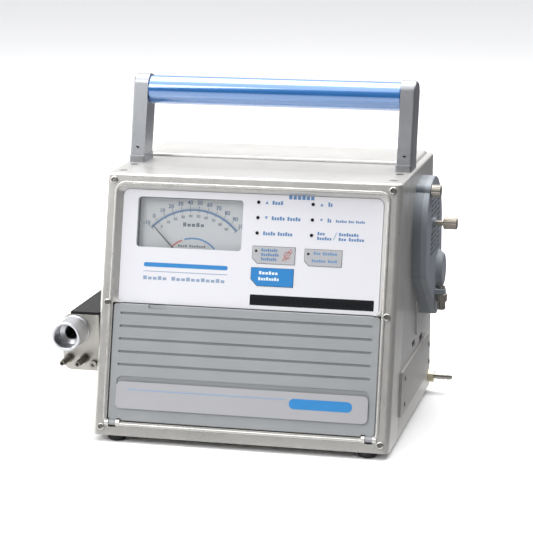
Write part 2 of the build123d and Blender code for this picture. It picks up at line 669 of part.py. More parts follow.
# ---- right side: gas intake ---------------------------------------------------------------------
INLET_CENTRE = (34.5, 147.0)   # y, z of the round head of the intake
INLET_RADIUS = 40.0
HOUSING_OUT = 119.0            # x where the housing ends and its cover begins
COVER_OUT = 123.0
UPPER_SCREW = (14.5, 179.0)    # y, z
KNOB = (27.5, 152.0)           # y, z
KNOB_TIP = 141.5
LOWER_SCREW = (127.8, 46.0)    # x, y
BOSS = (59.5, 109.0)           # y, z of the round swelling behind the lower screw
BOSS_RADIUS = 16.0
BOSS_HEIGHT = 4.5


def inlet_outline():
    """The tear-drop outline of the intake, in the YZ plane."""
    centre_y, centre_z = INLET_CENTRE
    left, right = centre_y - INLET_RADIUS, centre_y + INLET_RADIUS
    lower = [(left, centre_z), (right, centre_z), (right + 3.5, 77), (52, 74), (left, 116)]
    lower_face = make_face(Polyline(*lower, close=True))
    corners = [vertex for vertex in lower_face.vertices() if vertex.Y < centre_z - 1]
    lower_face = fillet(corners, 9)
    return lower_face + Pos(centre_y, centre_z) * Circle(INLET_RADIUS)


def inlet_slab(x0, x1):
    """A slab with the intake's outline between two X positions."""
    return extrude(Plane.YZ.offset(x0) * inlet_outline(), x1 - x0)


def make_inlet_housing():
    """The shallow housing on the right side that holds the intake filter."""
    solid = inlet_slab(HALF_WIDTH, HOUSING_OUT)
    solid = solid + cylinder_x(*UPPER_SCREW, 5.2, HALF_WIDTH, HOUSING_OUT)
    cuts = [
        cylinder_x(*INLET_CENTRE, 33, HALF_WIDTH + 2, HOUSING_OUT + 1),
        cylinder_x(30, 142, 20, HALF_WIDTH - 1, HOUSING_OUT + 1),
        cylinder_x(*UPPER_SCREW, 2.03, HALF_WIDTH + 1, HOUSING_OUT + 1),
    ]
    return minus(solid, cuts)


def make_inlet_cover():
    """The outer plate of the intake with its round swelling and the lug of the lower screw."""
    plate = inlet_slab(HOUSING_OUT, COVER_OUT)
    plate = fillet(plate.edges().group_by(Axis.X)[-1], 1.2)
    plate = plate + cylinder_x(*UPPER_SCREW, 5.2, HOUSING_OUT, COVER_OUT)
    boss = Cone(BOSS_RADIUS, BOSS_RADIUS - 3.5, BOSS_HEIGHT)
    boss = fillet(boss.edges().group_by(Axis.Z)[-1], 2.4)
    boss = Pos(COVER_OUT + BOSS_HEIGHT / 2, *BOSS) * Rot(0, 90, 0) * boss
    lug = block(COVER_OUT - 1, COVER_OUT + 8, 41, 51, 93, 96.5)
    lug = fillet([edge for edge in lug.edges().filter_by(Axis.Z) if edge.center().X > COVER_OUT], 4)
    bush = cylinder_x(*KNOB, 4.0, COVER_OUT - 1, COVER_OUT + 2)
    cuts = [
        cylinder_x(*UPPER_SCREW, 2.05, HOUSING_OUT - 1, COVER_OUT + 1),
        cylinder_x(*KNOB, 2.0 + RUNNING, HOUSING_OUT - 1, COVER_OUT + 5),
        cylinder_z(*LOWER_SCREW, 1.5 + RUNNING, 90, 100),
    ]
    return minus(plate + boss + lug + bush, cuts)


def make_inlet_filter():
    """The round felt filter in the housing."""
    return cylinder_x(*INLET_CENTRE, 32.5, HALF_WIDTH + 2.1, HOUSING_OUT - 2)


def make_upper_thumb_screw():
    """The thumb screw that clamps the intake cover."""
    head = knurled(4.7, 7.5, 16)
    shank = Pos(0, 0, -4.5) * Cylinder(2.0, 9.0)
    return Pos(COVER_OUT + 0.15, *UPPER_SCREW) * Rot(0, 90, 0) * (head + shank)


def make_lower_thumb_screw():
    """The stepped thumb screw that hangs under its lug."""
    wide = knurled(4.3, 6.5, 16)
    narrow = Pos(0, 0, 6.4) * knurled(3.2, 6.5, 12)
    stem = Pos(0, 0, -3.0) * Cylinder(1.5, 6.6)
    cap = Pos(0, 0, -4.9) * Cylinder(2.6, 1.8)
    return Pos(*LOWER_SCREW, 92.8) * Rot(180, 0, 0) * (wide + narrow + stem + cap)


def make_mixer_knob():
    """The oxygen mixer's knob on its thin neck."""
    knob = Pos(0, 0, 8) * knurled(4.6, KNOB_TIP - COVER_OUT - 8, 18)
    neck = Pos(0, 0, 1.9) * Cylinder(2.0, 14.2)
    keeper = Pos(0, 0, -4.8) * Cylinder(3.2, 1.2)
    return Pos(COVER_OUT, *KNOB) * Rot(0, 90, 0) * (knob + neck + keeper)


def make_oxygen_nut():
    """The brass hexagon nut that holds the oxygen fitting."""
    nut = extrude(RegularPolygon(5.5, 6) - Circle(3.02), 4.4)
    return Pos(HALF_WIDTH, 91, 13.5) * Rot(0, 90, 0) * nut


def make_oxygen_fitting():
    """The barbed oxygen inlet through the right side wall."""
    tail = Pos(0, 0, 4.4) * hose_barb(2.2, 1.2, 14.6)
    shank = Pos(0, 0, -1.8) * (Cylinder(3.0, 12.4) - Cylinder(1.2, 14))
    return Pos(HALF_WIDTH, 91, 13.5) * Rot(0, 90, 0) * (tail + shank)


DOOR_THICKNESS = 1.6


def make_battery_door():
    """The thin raised plate that covers the battery opening."""
    plate = block(HALF_WIDTH, HALF_WIDTH + DOOR_THICKNESS, -60, 82, 19, 53)
    plate = fillet(plate.edges().filter_by(Axis.X), 9)
    plate = fillet(plate.edges().group_by(Axis.X)[-1], 1.0)
    plate = plate - on_panel(block(-300, 300, -100, 400, -FRAME_DEPTH - 1.5, 50))
    plate = minus(plate, [cylinder_x(y, z, 1.22, HALF_WIDTH - 1, HALF_WIDTH + 3) for y, z in DOOR_SCREWS])
    return plate + block(HALF_WIDTH - 2.5, HALF_WIDTH, -23.8, 75.8, 24.2, 47.8)


def make_door_screws():
    """The four small screws of the battery door."""
    screws = []
    face = HALF_WIDTH + DOOR_THICKNESS
    for y, z in DOOR_SCREWS:
        head = cylinder_x(y, z, 2.2, face, face + 0.8)
        head = fillet(head.edges().group_by(Axis.X)[-1], 0.5)
        slot = block(face + 0.4, face + 2, y - 3, y + 3, z - 0.3, z + 0.3)
        screws.append(head - slot + cylinder_x(y, z, 1.2, HALF_WIDTH - 4, face))
    return group(screws)


# ---- back ---------------------------------------------------------------------------------------
def make_fan_guard():
    """The pressed ring guard over the fan opening."""
    guard = Circle(6)
    for radius in (29.0, 21.0, 13.0):
        guard = guard + (Circle(radius) - Circle(radius - 1.6))
    for index in range(4):
        spoke = Rot(0, 0, 45 + 90 * index) * Pos(15.5, 0) * Rectangle(26, 1.8)
        guard = guard + spoke
    ears = [(x, z) for x in (-25, 25) for z in (-25, 25)]
    for x, z in ears:
        ear = Pos(x, z) * Circle(4) + Pos(x * 0.84, z * 0.84) * Circle(3)
        guard = guard + (ear - Pos(x, z) * Circle(1.7))
    plane = Plane(origin=(FAN_X, REAR_REACH - 2, FAN_Z), x_dir=(1, 0, 0), z_dir=(0, 1, 0))
    pressed = extrude(plane * guard, 1.6)
    stand = Plane(origin=(FAN_X, BACK_Y, FAN_Z), x_dir=(1, 0, 0), z_dir=(0, 1, 0))
    for x, z in ears:
        collar = Pos(x, z) * (Circle(3.2) - Circle(1.7))
        pressed = pressed + extrude(stand * collar, REAR_REACH - 2 - BACK_Y)
    return pressed


def make_fan_frame():
    """The square fan housing with its round duct, struts and bearing."""
    front = INNER_BACK - 15
    left, right = FAN_X - FAN_HALF, FAN_X + FAN_HALF
    body = block(left, right, front, INNER_BACK, FAN_Z - FAN_HALF, FAN_Z + FAN_HALF)
    body = fillet(body.edges().filter_by(Axis.Y), 3)
    duct = cylinder_y(FAN_X, FAN_Z, 26.8, front - 1, INNER_BACK + 1)
    boss = cylinder_y(FAN_X, FAN_Z, 9, front, front + 2.5)
    bore = cylinder_y(FAN_X, FAN_Z, 1.5 + RUNNING, front - 1, front + 5)
    solid = body - duct
    for index in range(3):
        strut = Pos(17.5, 0, 0) * Box(21, 2.2, 2.5)
        place = Pos(FAN_X, front + 1.25, FAN_Z) * Rot(90, 0, 0) * Rot(0, 0, 90 + 120 * index)
        solid = solid + place * strut
    return solid + boss - bore


def make_fan_rotor():
    """The fan's hub, seven swept blades and shaft."""
    depth = 9.5
    hub = Cylinder(11, depth)
    rotor = fillet(hub.edges().group_by(Axis.Z)[-1], 1.5)
    for index in range(7):
        blade = Pos(17.5, 0, 0) * Rot(38, 0, 0) * Box(15.5, 11, 1.2)
        rotor = rotor + Rot(0, 0, index * 360 / 7) * blade
    rotor = rotor + Pos(0, 0, -depth / 2 - 0.9) * Cylinder(1.5, 3.6)
    rotor = rotor & Cylinder(25.5, 30)
    return Pos(FAN_X, INNER_BACK - 15 + 2.9 + depth / 2, FAN_Z) * Rot(-90, 0, 0) * rotor


def make_power_inlet():
    """The mains inlet in the back wall: a flanged socket with three pins."""
    middle = -60.0
    flange = block(middle - 17, middle + 17, BACK_Y, REAR_REACH, 31, 57)
    flange = fillet(flange.edges().filter_by(Axis.Y), 3)
    body = block(middle - 14, middle + 14, BACK_Y - 16, BACK_Y + 1, 34, 54)
    cavity = block(middle - 12, middle + 12, BACK_Y - 12, REAR_REACH + 1, 36, 52)
    solid = flange + body - cavity
    for x, z in ((middle - 7, 42.5), (middle, 47), (middle + 7, 42.5)):
        solid = solid + block(x - 1, x + 1, BACK_Y - 13, BACK_Y - 4, z - 2, z + 2)
    return solid


def make_rear_screws():
    """Pan-head screws in the back wall."""
    screws = []
    for x, z in rear_screw_places():
        head = cylinder_y(x, z, 3.6, BACK_Y, BACK_Y + 2.4)
        head = fillet(head.edges().group_by(Axis.Y)[-1], 1.2)
        slot = block(x - 2.4, x + 2.4, BACK_Y + 1.4, BACK_Y + 4, z - 0.5, z + 0.5)
        cross = block(x - 0.5, x + 0.5, BACK_Y + 1.4, BACK_Y + 4, z - 2.4, z + 2.4)
        screws.append(head - slot - cross + cylinder_y(x, z, 2.0, BACK_Y - 8, BACK_Y))
    return group(screws)


# ---- inside -------------------------------------------------------------------------------------
BLOWER = (-48.0, 25.0)         # x, y of the blower's axis
BLOWER_RADIUS = 38.0
BLOWER_LOW = 61.5
BLOWER_HIGH = 92.5


def make_blower_housing():
    """The drum of the blower with its outlet stub to the manifold."""
    drum = cylinder_z(*BLOWER, BLOWER_RADIUS, BLOWER_LOW, BLOWER_HIGH)
    stub = cylinder_x(BLOWER[1], 77, 9, -HALF_WIDTH, BLOWER[0] - 30)
    solid = drum + stub
    cuts = [
        cylinder_z(*BLOWER, BLOWER_RADIUS - 2.5, BLOWER_LOW + 2.5, BLOWER_HIGH - 2.5),
        cylinder_x(BLOWER[1], 77, 7, -HALF_WIDTH - 1, BLOWER[0] - 20),
        cylinder_z(*BLOWER, 4, BLOWER_HIGH - 5, BLOWER_HIGH + 1),
    ]
    return minus(solid, cuts)


def make_blower_impeller():
    """The impeller: a disc with straight vanes on the motor's shaft."""
    disc_plate = cylinder_z(*BLOWER, 33, 67, 69)
    solid = disc_plate + cylinder_z(*BLOWER, 8, 69, 86) + cylinder_z(*BLOWER, 2.5, 86, 118)
    for index in range(9):
        vane = Pos(20.5, 0, 9.4) * Box(24, 1.4, 15.2)
        solid = solid + Pos(*BLOWER, 67) * Rot(0, 0, index * 40) * vane
    return solid


def make_blower_motor():
    """The motor on top of the blower."""
    body = cylinder_z(*BLOWER, 22, BLOWER_HIGH, 128)
    body = fillet(body.edges().group_by(Axis.Z)[-1], 2)
    return body - cylinder_z(*BLOWER, 2.5 + RUNNING, BLOWER_HIGH - 1, 118.5)


def make_battery_pack():
    """The rechargeable battery behind its door."""
    pack = block(-20, 108, -20, 72, 10, 22) + block(-20, 108, -20, 72, 22, 50)
    return fillet(pack.edges().filter_by(Axis.Y), 3)


def make_main_board():
    """The main circuit board with its larger parts."""
    board = block(2, 98, -10, 76, 150, 151.6)
    for x, y, size, height in ((25, 10, 22, 5), (62, 12, 18, 3), (30, 50, 14, 12), (70, 52, 24, 8)):
        board = board + block(x - size / 2, x + size / 2, y - size / 2, y + size / 2, 151.5, 151.6 + height)
    return board


# ---- write every node ---------------------------------------------------------------------------
def all_nodes():
    """Every node's name and solid."""
    nodes = {
        "front_frame": make_front_frame(),
        "rear_shell": make_rear_shell(),
        "base_plate": make_base_plate(),
        "feet": make_feet(),
        "chassis_tray": make_chassis_tray(),
        "frame_screws": group([on_panel(frame_screw(x, h)) for x, h in screw_places()]),
        "top_screws": group([top_screw(x, y) for x, y in top_screw_places()]),
        "rear_screws": make_rear_screws(),
        "upper_panel": make_upper_panel(),
        "indicator_leds": make_indicator_leds(),
        "display_window": make_display_window(),
        "meter_case": make_meter_case(),
        "meter_dial": make_meter_dial(),
        "meter_window": make_meter_window(),
        "meter_pointer": make_meter_pointer(),
        "control_panel": make_control_panel(),
        "setting_window": make_setting_window(),
        "keypad_board": make_keypad_board(),
        "front_cover": make_front_cover(),
        "cover_hinge_pins": make_cover_hinge_pins(),
        "handle_right_post": make_handle_post(),
        "handle_left_post": mirror(make_handle_post(), Plane.YZ),
        "handle_rod": make_handle_rod(),
        "handle_grip": make_handle_grip(),
        "handle_screws": make_handle_screws(),
        "manifold_block": make_manifold_block(),
        "manifold_lid": make_manifold_lid(),
        "manifold_screw": make_manifold_screw(),
        "patient_outlet": make_patient_outlet(),
        "inlet_housing": make_inlet_housing(),
        "inlet_cover": make_inlet_cover(),
        "inlet_filter": make_inlet_filter(),
        "upper_thumb_screw": make_upper_thumb_screw(),
        "lower_thumb_screw": make_lower_thumb_screw(),
        "mixer_knob": make_mixer_knob(),
        "oxygen_nut": make_oxygen_nut(),
        "oxygen_fitting": make_oxygen_fitting(),
        "battery_door": make_battery_door(),
        "door_screws": make_door_screws(),
        "fan_guard": make_fan_guard(),
        "fan_frame": make_fan_frame(),
        "fan_rotor": make_fan_rotor(),
        "power_inlet": make_power_inlet(),
        "blower_housing": make_blower_housing(),
        "blower_impeller": make_blower_impeller(),
        "blower_motor": make_blower_motor(),
        "battery_pack": make_battery_pack(),
        "main_board": make_main_board(),
    }
    for name, key in UPPER_KEYS.items():
        nodes[name] = make_upper_key(key)
    for name, key in LOWER_KEYS.items():
        nodes[name] = make_lower_key(key)
    for name, (x, z) in BARB_PLACES.items():
        nodes[name] = make_barb(x, z)
    return nodes


os.makedirs("parts", exist_ok=True)
for node_name, node_solid in all_nodes().items():
    export_step(node_solid, f"parts/{node_name}.step")
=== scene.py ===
"""Looks for a portable lung ventilator: its finishes, printed markings, lights and camera."""

import json
import logging
import math
from dataclasses import dataclass
from enum import Enum

import bmesh
import bpy
from mathutils import Matrix, Vector

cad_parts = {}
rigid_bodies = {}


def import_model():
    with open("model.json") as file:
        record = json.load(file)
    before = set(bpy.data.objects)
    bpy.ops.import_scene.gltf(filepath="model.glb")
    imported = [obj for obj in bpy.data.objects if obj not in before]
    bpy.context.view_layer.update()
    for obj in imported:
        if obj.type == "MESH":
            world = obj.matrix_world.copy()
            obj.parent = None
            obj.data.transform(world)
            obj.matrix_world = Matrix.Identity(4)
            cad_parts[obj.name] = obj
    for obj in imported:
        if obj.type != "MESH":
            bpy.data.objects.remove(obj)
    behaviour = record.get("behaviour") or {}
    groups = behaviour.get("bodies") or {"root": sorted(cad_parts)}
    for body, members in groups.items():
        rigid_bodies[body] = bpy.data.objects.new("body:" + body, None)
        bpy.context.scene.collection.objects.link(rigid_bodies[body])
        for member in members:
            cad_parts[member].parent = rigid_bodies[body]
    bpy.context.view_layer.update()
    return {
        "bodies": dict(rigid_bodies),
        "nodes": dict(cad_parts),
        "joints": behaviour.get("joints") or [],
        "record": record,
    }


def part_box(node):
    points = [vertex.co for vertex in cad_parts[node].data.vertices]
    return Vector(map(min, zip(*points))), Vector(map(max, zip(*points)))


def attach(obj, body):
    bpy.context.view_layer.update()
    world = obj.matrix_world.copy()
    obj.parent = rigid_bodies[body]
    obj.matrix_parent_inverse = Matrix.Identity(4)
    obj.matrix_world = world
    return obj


LOG = logging.getLogger("ventilator")
MM = 0.001
INK_HEIGHT = 0.06 * MM  # how far printed ink stands above its surface
INK_SINK = 0.04 * MM  # how far it reaches below it, so that no gap shows
WORD_GAP = 0.8  # the gap between two words of a stand-in line, beside the pitch of its blocks
SMALL_BLOCK = 0.74  # the height of a low block beside a tall one
BLOCK_SHARE = 0.74  # the width of a block beside its pitch
FIGURE_WEIGHT = 0.025  # how much a dial's figures are thickened, beside their size
CORNER_STEPS = 4  # the straight pieces in a rounded corner
ARC_STEP = 3.0  # the degrees between two points of an arc
EDGE_CONTRAST = 5.0  # how sharply the mask of worn edges and painted edge highlights rises

Colour = tuple[float, float, float, float]
Point = tuple[float, float]

WHITE: Colour = (1.0, 1.0, 1.0, 1.0)


def paint(code: str) -> Colour:
    """Turn a colour written as six hex digits into the linear values that shaders use.

    Args:
        code: the colour as RRGGBB.

    Returns:
        Linear red, green, blue and an alpha of 1.
    """
    channels = [int(code[i : i + 2], 16) / 255 for i in (0, 2, 4)]
    linear = [c / 12.92 if c <= 0.04045 else ((c + 0.055) / 1.055) ** 2.4 for c in channels]
    return (linear[0], linear[1], linear[2], 1.0)


def shade(colour: Colour, factor: float) -> Colour:
    """Give a colour made lighter or darker by a factor."""
    return (*(min(1.0, c * factor) for c in colour[:3]), 1.0)


def grey(level: float, blue: float = 0.0) -> Colour:
    """Give a linear grey, with a little more blue if asked."""
    return (level, level, level + blue, 1.0)


def polar(centre: Point, reach: float, degrees: float) -> Point:
    """Give the point at a distance and an angle from a centre."""
    angle = math.radians(degrees)
    return (centre[0] + reach * math.cos(angle), centre[1] + reach * math.sin(angle))


# ---------------------------------------------------------------------------------------------------------
# Node trees
# ---------------------------------------------------------------------------------------------------------


class Link:
    """An output of a node that can be used in an expression."""

    def __init__(self, nodes: "NodeTree", socket: bpy.types.NodeSocket) -> None:
        """Wrap a socket.

        Args:
            nodes: the tree that the socket belongs to.
            socket: the output socket.
        """
        self.nodes = nodes
        self.socket = socket

    def output(self, name: str) -> "Link":
        """Give another output of the same node."""
        return Link(self.nodes, self.socket.node.outputs[name])

    def _maths(self, operation: str, left: object, right: object) -> "Link":
        """Add a Math node for one operation on two values."""
        return self.nodes.node("ShaderNodeMath", {"operation": operation}, {0: left, 1: right})

    def __add__(self, other: object) -> "Link":
        """Add."""
        return self._maths("ADD", self, other)

    def __radd__(self, other: object) -> "Link":
        """Add, from the right."""
        return self._maths("ADD", other, self)

    def __sub__(self, other: object) -> "Link":
        """Subtract."""
        return self._maths("SUBTRACT", self, other)

    def __rsub__(self, other: object) -> "Link":
        """Subtract, from the right."""
        return self._maths("SUBTRACT", other, self)

    def __mul__(self, other: object) -> "Link":
        """Multiply."""
        return self._maths("MULTIPLY", self, other)

    def clamped(self) -> "Link":
        """Keep the value from 0 to 1."""
        return self.nodes.node("ShaderNodeClamp", {}, {"Value": self})


class NodeTree:
    """A node tree that is built with one method for any node."""

    def __init__(self, tree: bpy.types.NodeTree) -> None:
        """Start with an empty tree."""
        self.tree = tree
        self.tree.nodes.clear()

    def feed(self, socket: bpy.types.NodeSocket, value: object) -> None:
        """Link an output to an input, or set the input's own value.

        Args:
            socket: the input.
            value: a Link, or a plain value.
        """
        if isinstance(value, Link):
            self.tree.links.new(value.socket, socket)
        else:
            socket.default_value = value

    def node(
        self,
        kind: str,
        settings: dict[str, object] | None = None,
        inputs: dict[str | int, object] | None = None,
        output: str | int = 0,
    ) -> Link:
        """Add a node.

        Args:
            kind: the node's type.
            settings: the node's properties, with "stops" for a ramp as (position, colour) pairs.
            inputs: values or links for its inputs, by name or number.
            output: the output to give back.

        Returns:
            The chosen output.
        """
        made = self.tree.nodes.new(kind)
        for name, value in (settings or {}).items():
            if name == "stops":
                self._set_stops(made.color_ramp, value)
            else:
                setattr(made, name, value)
        for key, value in (inputs or {}).items():
            self.feed(made.inputs[key], value)
        return Link(self, made.outputs[output])

    def end(self, kind: str, inputs: dict[str | int, object]) -> None:
        """Add a node that has inputs only, such as a tree's output."""
        made = self.tree.nodes.new(kind)
        for key, value in inputs.items():
            self.feed(made.inputs[key], value)

    @staticmethod
    def _set_stops(ramp: bpy.types.ColorRamp, stops: list[tuple[float, Colour]]) -> None:
        """Give a ramp its stops."""
        while len(ramp.elements) < len(stops):
            ramp.elements.new(1.0)
        for element, (position, colour) in zip(ramp.elements, stops):
            element.position = position
            element.color = colour


class Shader(NodeTree):
    """A surface's shader, with the patterns that the finishes share."""

    def __init__(self, name: str) -> None:
        """Make the material that holds the shader."""
        self.material = bpy.data.materials.new(name)
        self.material.use_nodes = True
        super().__init__(self.material.node_tree)
        self.place = self.node("ShaderNodeTexCoord", output="Object")

    def stretched(self, scale: tuple[float, float, float]) -> Link:
        """Give the object's coordinates, scaled along each axis."""
        return self.node("ShaderNodeMapping", {}, {"Vector": self.place, "Scale": scale})

    def noise(self, scale: float, detail: float = 2.0, place: Link | None = None) -> Link:
        """Give soft noise with this many features in a metre."""
        inputs = {"Vector": place or self.place, "Scale": scale, "Detail": detail}
        return self.node("ShaderNodeTexNoise", {}, inputs)

    def pits(self, scale: float) -> Link:
        """Give the distance to the nearest of many scattered points."""
        return self.node("ShaderNodeTexVoronoi", {}, {"Vector": self.place, "Scale": scale})

    def mix(self, factor: object, first: object, second: object) -> Link:
        """Blend two colours."""
        return self.node("ShaderNodeMix", {"data_type": "RGBA"}, {0: factor, 6: first, 7: second}, 2)

    def worn_edge(self, radius: float) -> Link:
        """Give a mask that is high on sharp outer and inner edges, used for wear and a painted edge
        highlight.
        """
        round_normal = self.node("ShaderNodeBevel", {"samples": 4}, {"Radius": radius})
        flat_normal = self.node("ShaderNodeNewGeometry", output="Normal")
        operation = {"operation": "DOT_PRODUCT"}
        facing = self.node("ShaderNodeVectorMath", operation, {0: round_normal, 1: flat_normal}, "Value")
        return ((1.0 - facing) * EDGE_CONTRAST).clamped()

    def bump(self, height: Link, depth: float) -> Link:
        """Turn a height from 0 to 1 into a normal.

        Args:
            height: the height.
            depth: how deep the relief is, in metres.

        Returns:
            The bumped normal.
        """
        return self.node("ShaderNodeBump", {}, {"Strength": 1.0, "Distance": depth, "Height": height})

    def surface(self, inputs: dict[str, object]) -> None:
        """End the tree in a surface with these inputs."""
        self.end("ShaderNodeOutputMaterial", {"Surface": self.node("ShaderNodeBsdfPrincipled", {}, inputs)})


class GeometryTree(NodeTree):
    """A geometry node tree with named inputs, used on one mesh and then made plain."""

    def __init__(self, name: str, inputs: dict[str, tuple[str, object]]) -> None:
        """Make the tree and its inputs.

        Args:
            name: the tree's name.
            inputs: each input's name, with its socket type and its value.
        """
        group = bpy.data.node_groups.new(name, "GeometryNodeTree")
        super().__init__(group)
        group.interface.new_socket("Geometry", in_out="INPUT", socket_type="NodeSocketGeometry")
        group.interface.new_socket("Geometry", in_out="OUTPUT", socket_type="NodeSocketGeometry")
        self.values: dict[str, object] = {}
        for title, (kind, value) in inputs.items():
            socket = group.interface.new_socket(title, in_out="INPUT", socket_type=kind)
            self.values[socket.identifier] = value
        self.given = self.node("NodeGroupInput", output="Geometry")

    def value(self, title: str) -> Link:
        """Give one of the tree's named inputs."""
        return self.given.output(title)

    def block(self, x: object, y: object, z: object) -> Link:
        """Give a block with these three sides."""
        size = self.node("ShaderNodeCombineXYZ", {}, {"X": x, "Y": y, "Z": z})
        return self.node("GeometryNodeMeshCube", {}, {"Size": size})

    def instances(self, points: object, instance: object, rotation: object) -> Link:
        """Put a turned copy of a shape on each point."""
        inputs = {"Points": points, "Instance": instance, "Rotation": rotation}
        return self.node("GeometryNodeInstanceOnPoints", {}, inputs)

    def close(self, geometry: Link, material: bpy.types.Material) -> None:
        """End the tree in real geometry with a material."""
        real = self.node("GeometryNodeRealizeInstances", {}, {"Geometry": geometry})
        dressed = self.node("GeometryNodeSetMaterial", {}, {"Geometry": real, "Material": material})
        self.end("NodeGroupOutput", {"Geometry": dressed})

    def grow(self, name: str, seeds: bpy.types.Mesh, matrix: Matrix) -> bpy.types.Object:
        """Run the tree on a mesh and give the result as a plain object in its place.

        Args:
            name: the name of the piece.
            seeds: the mesh that the tree is given.
            matrix: where the result goes.

        Returns:
            The finished piece.
        """
        source = bpy.data.objects.new(name + "_seeds", seeds)
        bpy.context.scene.collection.objects.link(source)
        modifier = source.modifiers.new("grow", "NODES")
        modifier.node_group = self.tree
        for identifier, value in self.values.items():
            modifier[identifier] = value
        bpy.context.view_layer.update()
        graph = bpy.context.evaluated_depsgraph_get()
        mesh = bpy.data.meshes.new_from_object(source.evaluated_get(graph), depsgraph=graph)
        source.modifiers.remove(modifier)
        bpy.data.objects.remove(source)
        mesh.transform(matrix)
        mesh.name = name
        return place_mesh(name, mesh)


# ---------------------------------------------------------------------------------------------------------
# Finishes
# ---------------------------------------------------------------------------------------------------------


class Grain(Enum):
    """How a metal's fine grain runs, as a stretch along each axis."""

    EVEN = (1.0, 1.0, 1.0)
    ALONG_X = (0.05, 1.0, 1.0)
    ALONG_Y = (1.0, 0.05, 1.0)
    ALONG_Z = (1.0, 1.0, 0.05)


class Finish:
    """A surface finish that can be made into a material."""

    def make(self, name: str) -> bpy.types.Material:
        """Build the finish as a material of this name."""
        shader = Shader(name)
        self.build(shader)
        return shader.material

    def build(self, shader: Shader) -> None:
        """Build the finish's nodes."""
        raise NotImplementedError


@dataclass(frozen=True)
class Metal(Finish):
    """Painted, cast, brushed or bare metal."""

    colour: str
    roughness: float = 0.36
    metallic: float = 1.0
    grain: Grain = Grain.EVEN
    grain_scale: float = 1500.0
    grain_depth: float = 0.02 * MM
    blotch: float = 0.22
    edge_radius: float = 0.0
    # how far the edges are lightened in colour: wear and a painted highlight
    edge_shine: float = 0.6
    sheen_level: float = 0.5

    def build(self, shader: Shader) -> None:
        """Build fine grain, a slow change of tone, and edges lightened by wear and a painted highlight."""
        base = paint(self.colour)
        fine = shader.noise(self.grain_scale, 3.0, shader.stretched(self.grain.value))
        tone = shader.noise(24.0, 4.0) * 0.4 + shader.noise(170.0) * 0.25 + fine * 0.35
        colour = shader.mix(tone, shade(base, 1 - self.blotch), shade(base, 1 + self.blotch))
        roughness = self.roughness + (tone - 0.5) * 0.20 + (fine - 0.5) * 0.10
        if self.edge_radius:
            # The edge mask lightens the colour, partly as wear and partly as a painted highlight along the
            # edges.
            wear_and_highlight = (shader.worn_edge(self.edge_radius) * (shader.noise(260.0, 3.0) + 0.35)).clamped()
            colour = shader.mix(wear_and_highlight * self.edge_shine, colour, shade(base, 1.7))
            roughness = roughness - wear_and_highlight * 0.10
        shader.surface(
            {
                "Base Color": colour,
                "Metallic": self.metallic,
                "Roughness": roughness,
                "Specular IOR Level": self.sheen_level,
                "Normal": shader.bump(fine, self.grain_depth),
            }
        )


SCREW_STEEL = Metal("8D8B88", 0.30, grain_scale=2600.0, blotch=0.2)


@dataclass(frozen=True)
class TurnedMetal(Finish):
    """Metal from the lathe, with rings round an axis through its middle."""

    colour: str
    centre: tuple[float, float, float]
    axis: int
    roughness: float = 0.28

    def build(self, shader: Shader) -> None:
        """Build fine tool rings and a few slow stains."""
        base = paint(self.colour)
        keep = [1.0, 1.0, 1.0]
        keep[self.axis] = 0.02
        shift = tuple(-c * k for c, k in zip(self.centre, keep))
        inputs = {"Vector": shader.place, "Location": shift, "Scale": tuple(keep)}
        round_place = shader.node("ShaderNodeMapping", {}, inputs)
        settings = {"wave_type": "RINGS", "rings_direction": "SPHERICAL"}
        rings = shader.node("ShaderNodeTexWave", settings, {"Vector": round_place, "Scale": 700.0}, "Fac")
        stains = shader.noise(320.0, 3.0)
        shader.surface(
            {
                "Base Color": shader.mix(stains, shade(base, 0.78), shade(base, 1.12)),
                "Metallic": 1.0,
                "Roughness": self.roughness + (stains - 0.5) * 0.2 + rings * 0.06,
                "Normal": shader.bump(rings, 0.012 * MM),
            }
        )


@dataclass(frozen=True)
class Moulding(Finish):
    """Moulded plastic or rubber with a spark-eroded texture."""

    colour: str
    roughness: float = 0.5
    texture_scale: float = 1900.0
    texture_depth: float = 0.03 * MM
    dust: float = 0.06
    coat: float = 0.0

    def build(self, shader: Shader) -> None:
        """Build the pitted texture, its light dust and a slow change of tone."""
        base = paint(self.colour)
        pits = shader.pits(self.texture_scale)
        slow = shader.noise(30.0, 3.0)
        dusty = ((shader.noise(90.0, 5.0) - 0.55) * 3.0).clamped()
        colour = shader.mix(slow, shade(base, 0.93), shade(base, 1.07))
        colour = shader.mix(dusty * self.dust, colour, paint("C9C8C4"))
        shader.surface(
            {
                "Base Color": colour,
                "Roughness": self.roughness + (slow - 0.5) * 0.12 + dusty * 0.08,
                "Coat Weight": self.coat,
                "Coat Roughness": 0.08,
                "Normal": shader.bump(pits, self.texture_depth),
            }
        )


@dataclass(frozen=True)
class Film(Finish):
    """A printed plastic film, faintly embossed and a little cloudy."""

    colour: str
    second: str
    roughness: float = 0.38

    def build(self, shader: Shader) -> None:
        """Build the emboss, faint wipe marks and a slow change from one colour to the other."""
        wipes = shader.noise(140.0, 3.0, shader.stretched((0.3, 1.0, 1.0)))
        slow = shader.noise(14.0)
        shader.surface(
            {
                "Base Color": shader.mix(slow, paint(self.colour), paint(self.second)),
                "Roughness": self.roughness + (wipes - 0.5) * 0.14,
                "Normal": shader.bump(shader.noise(2600.0), 0.008 * MM),
            }
        )


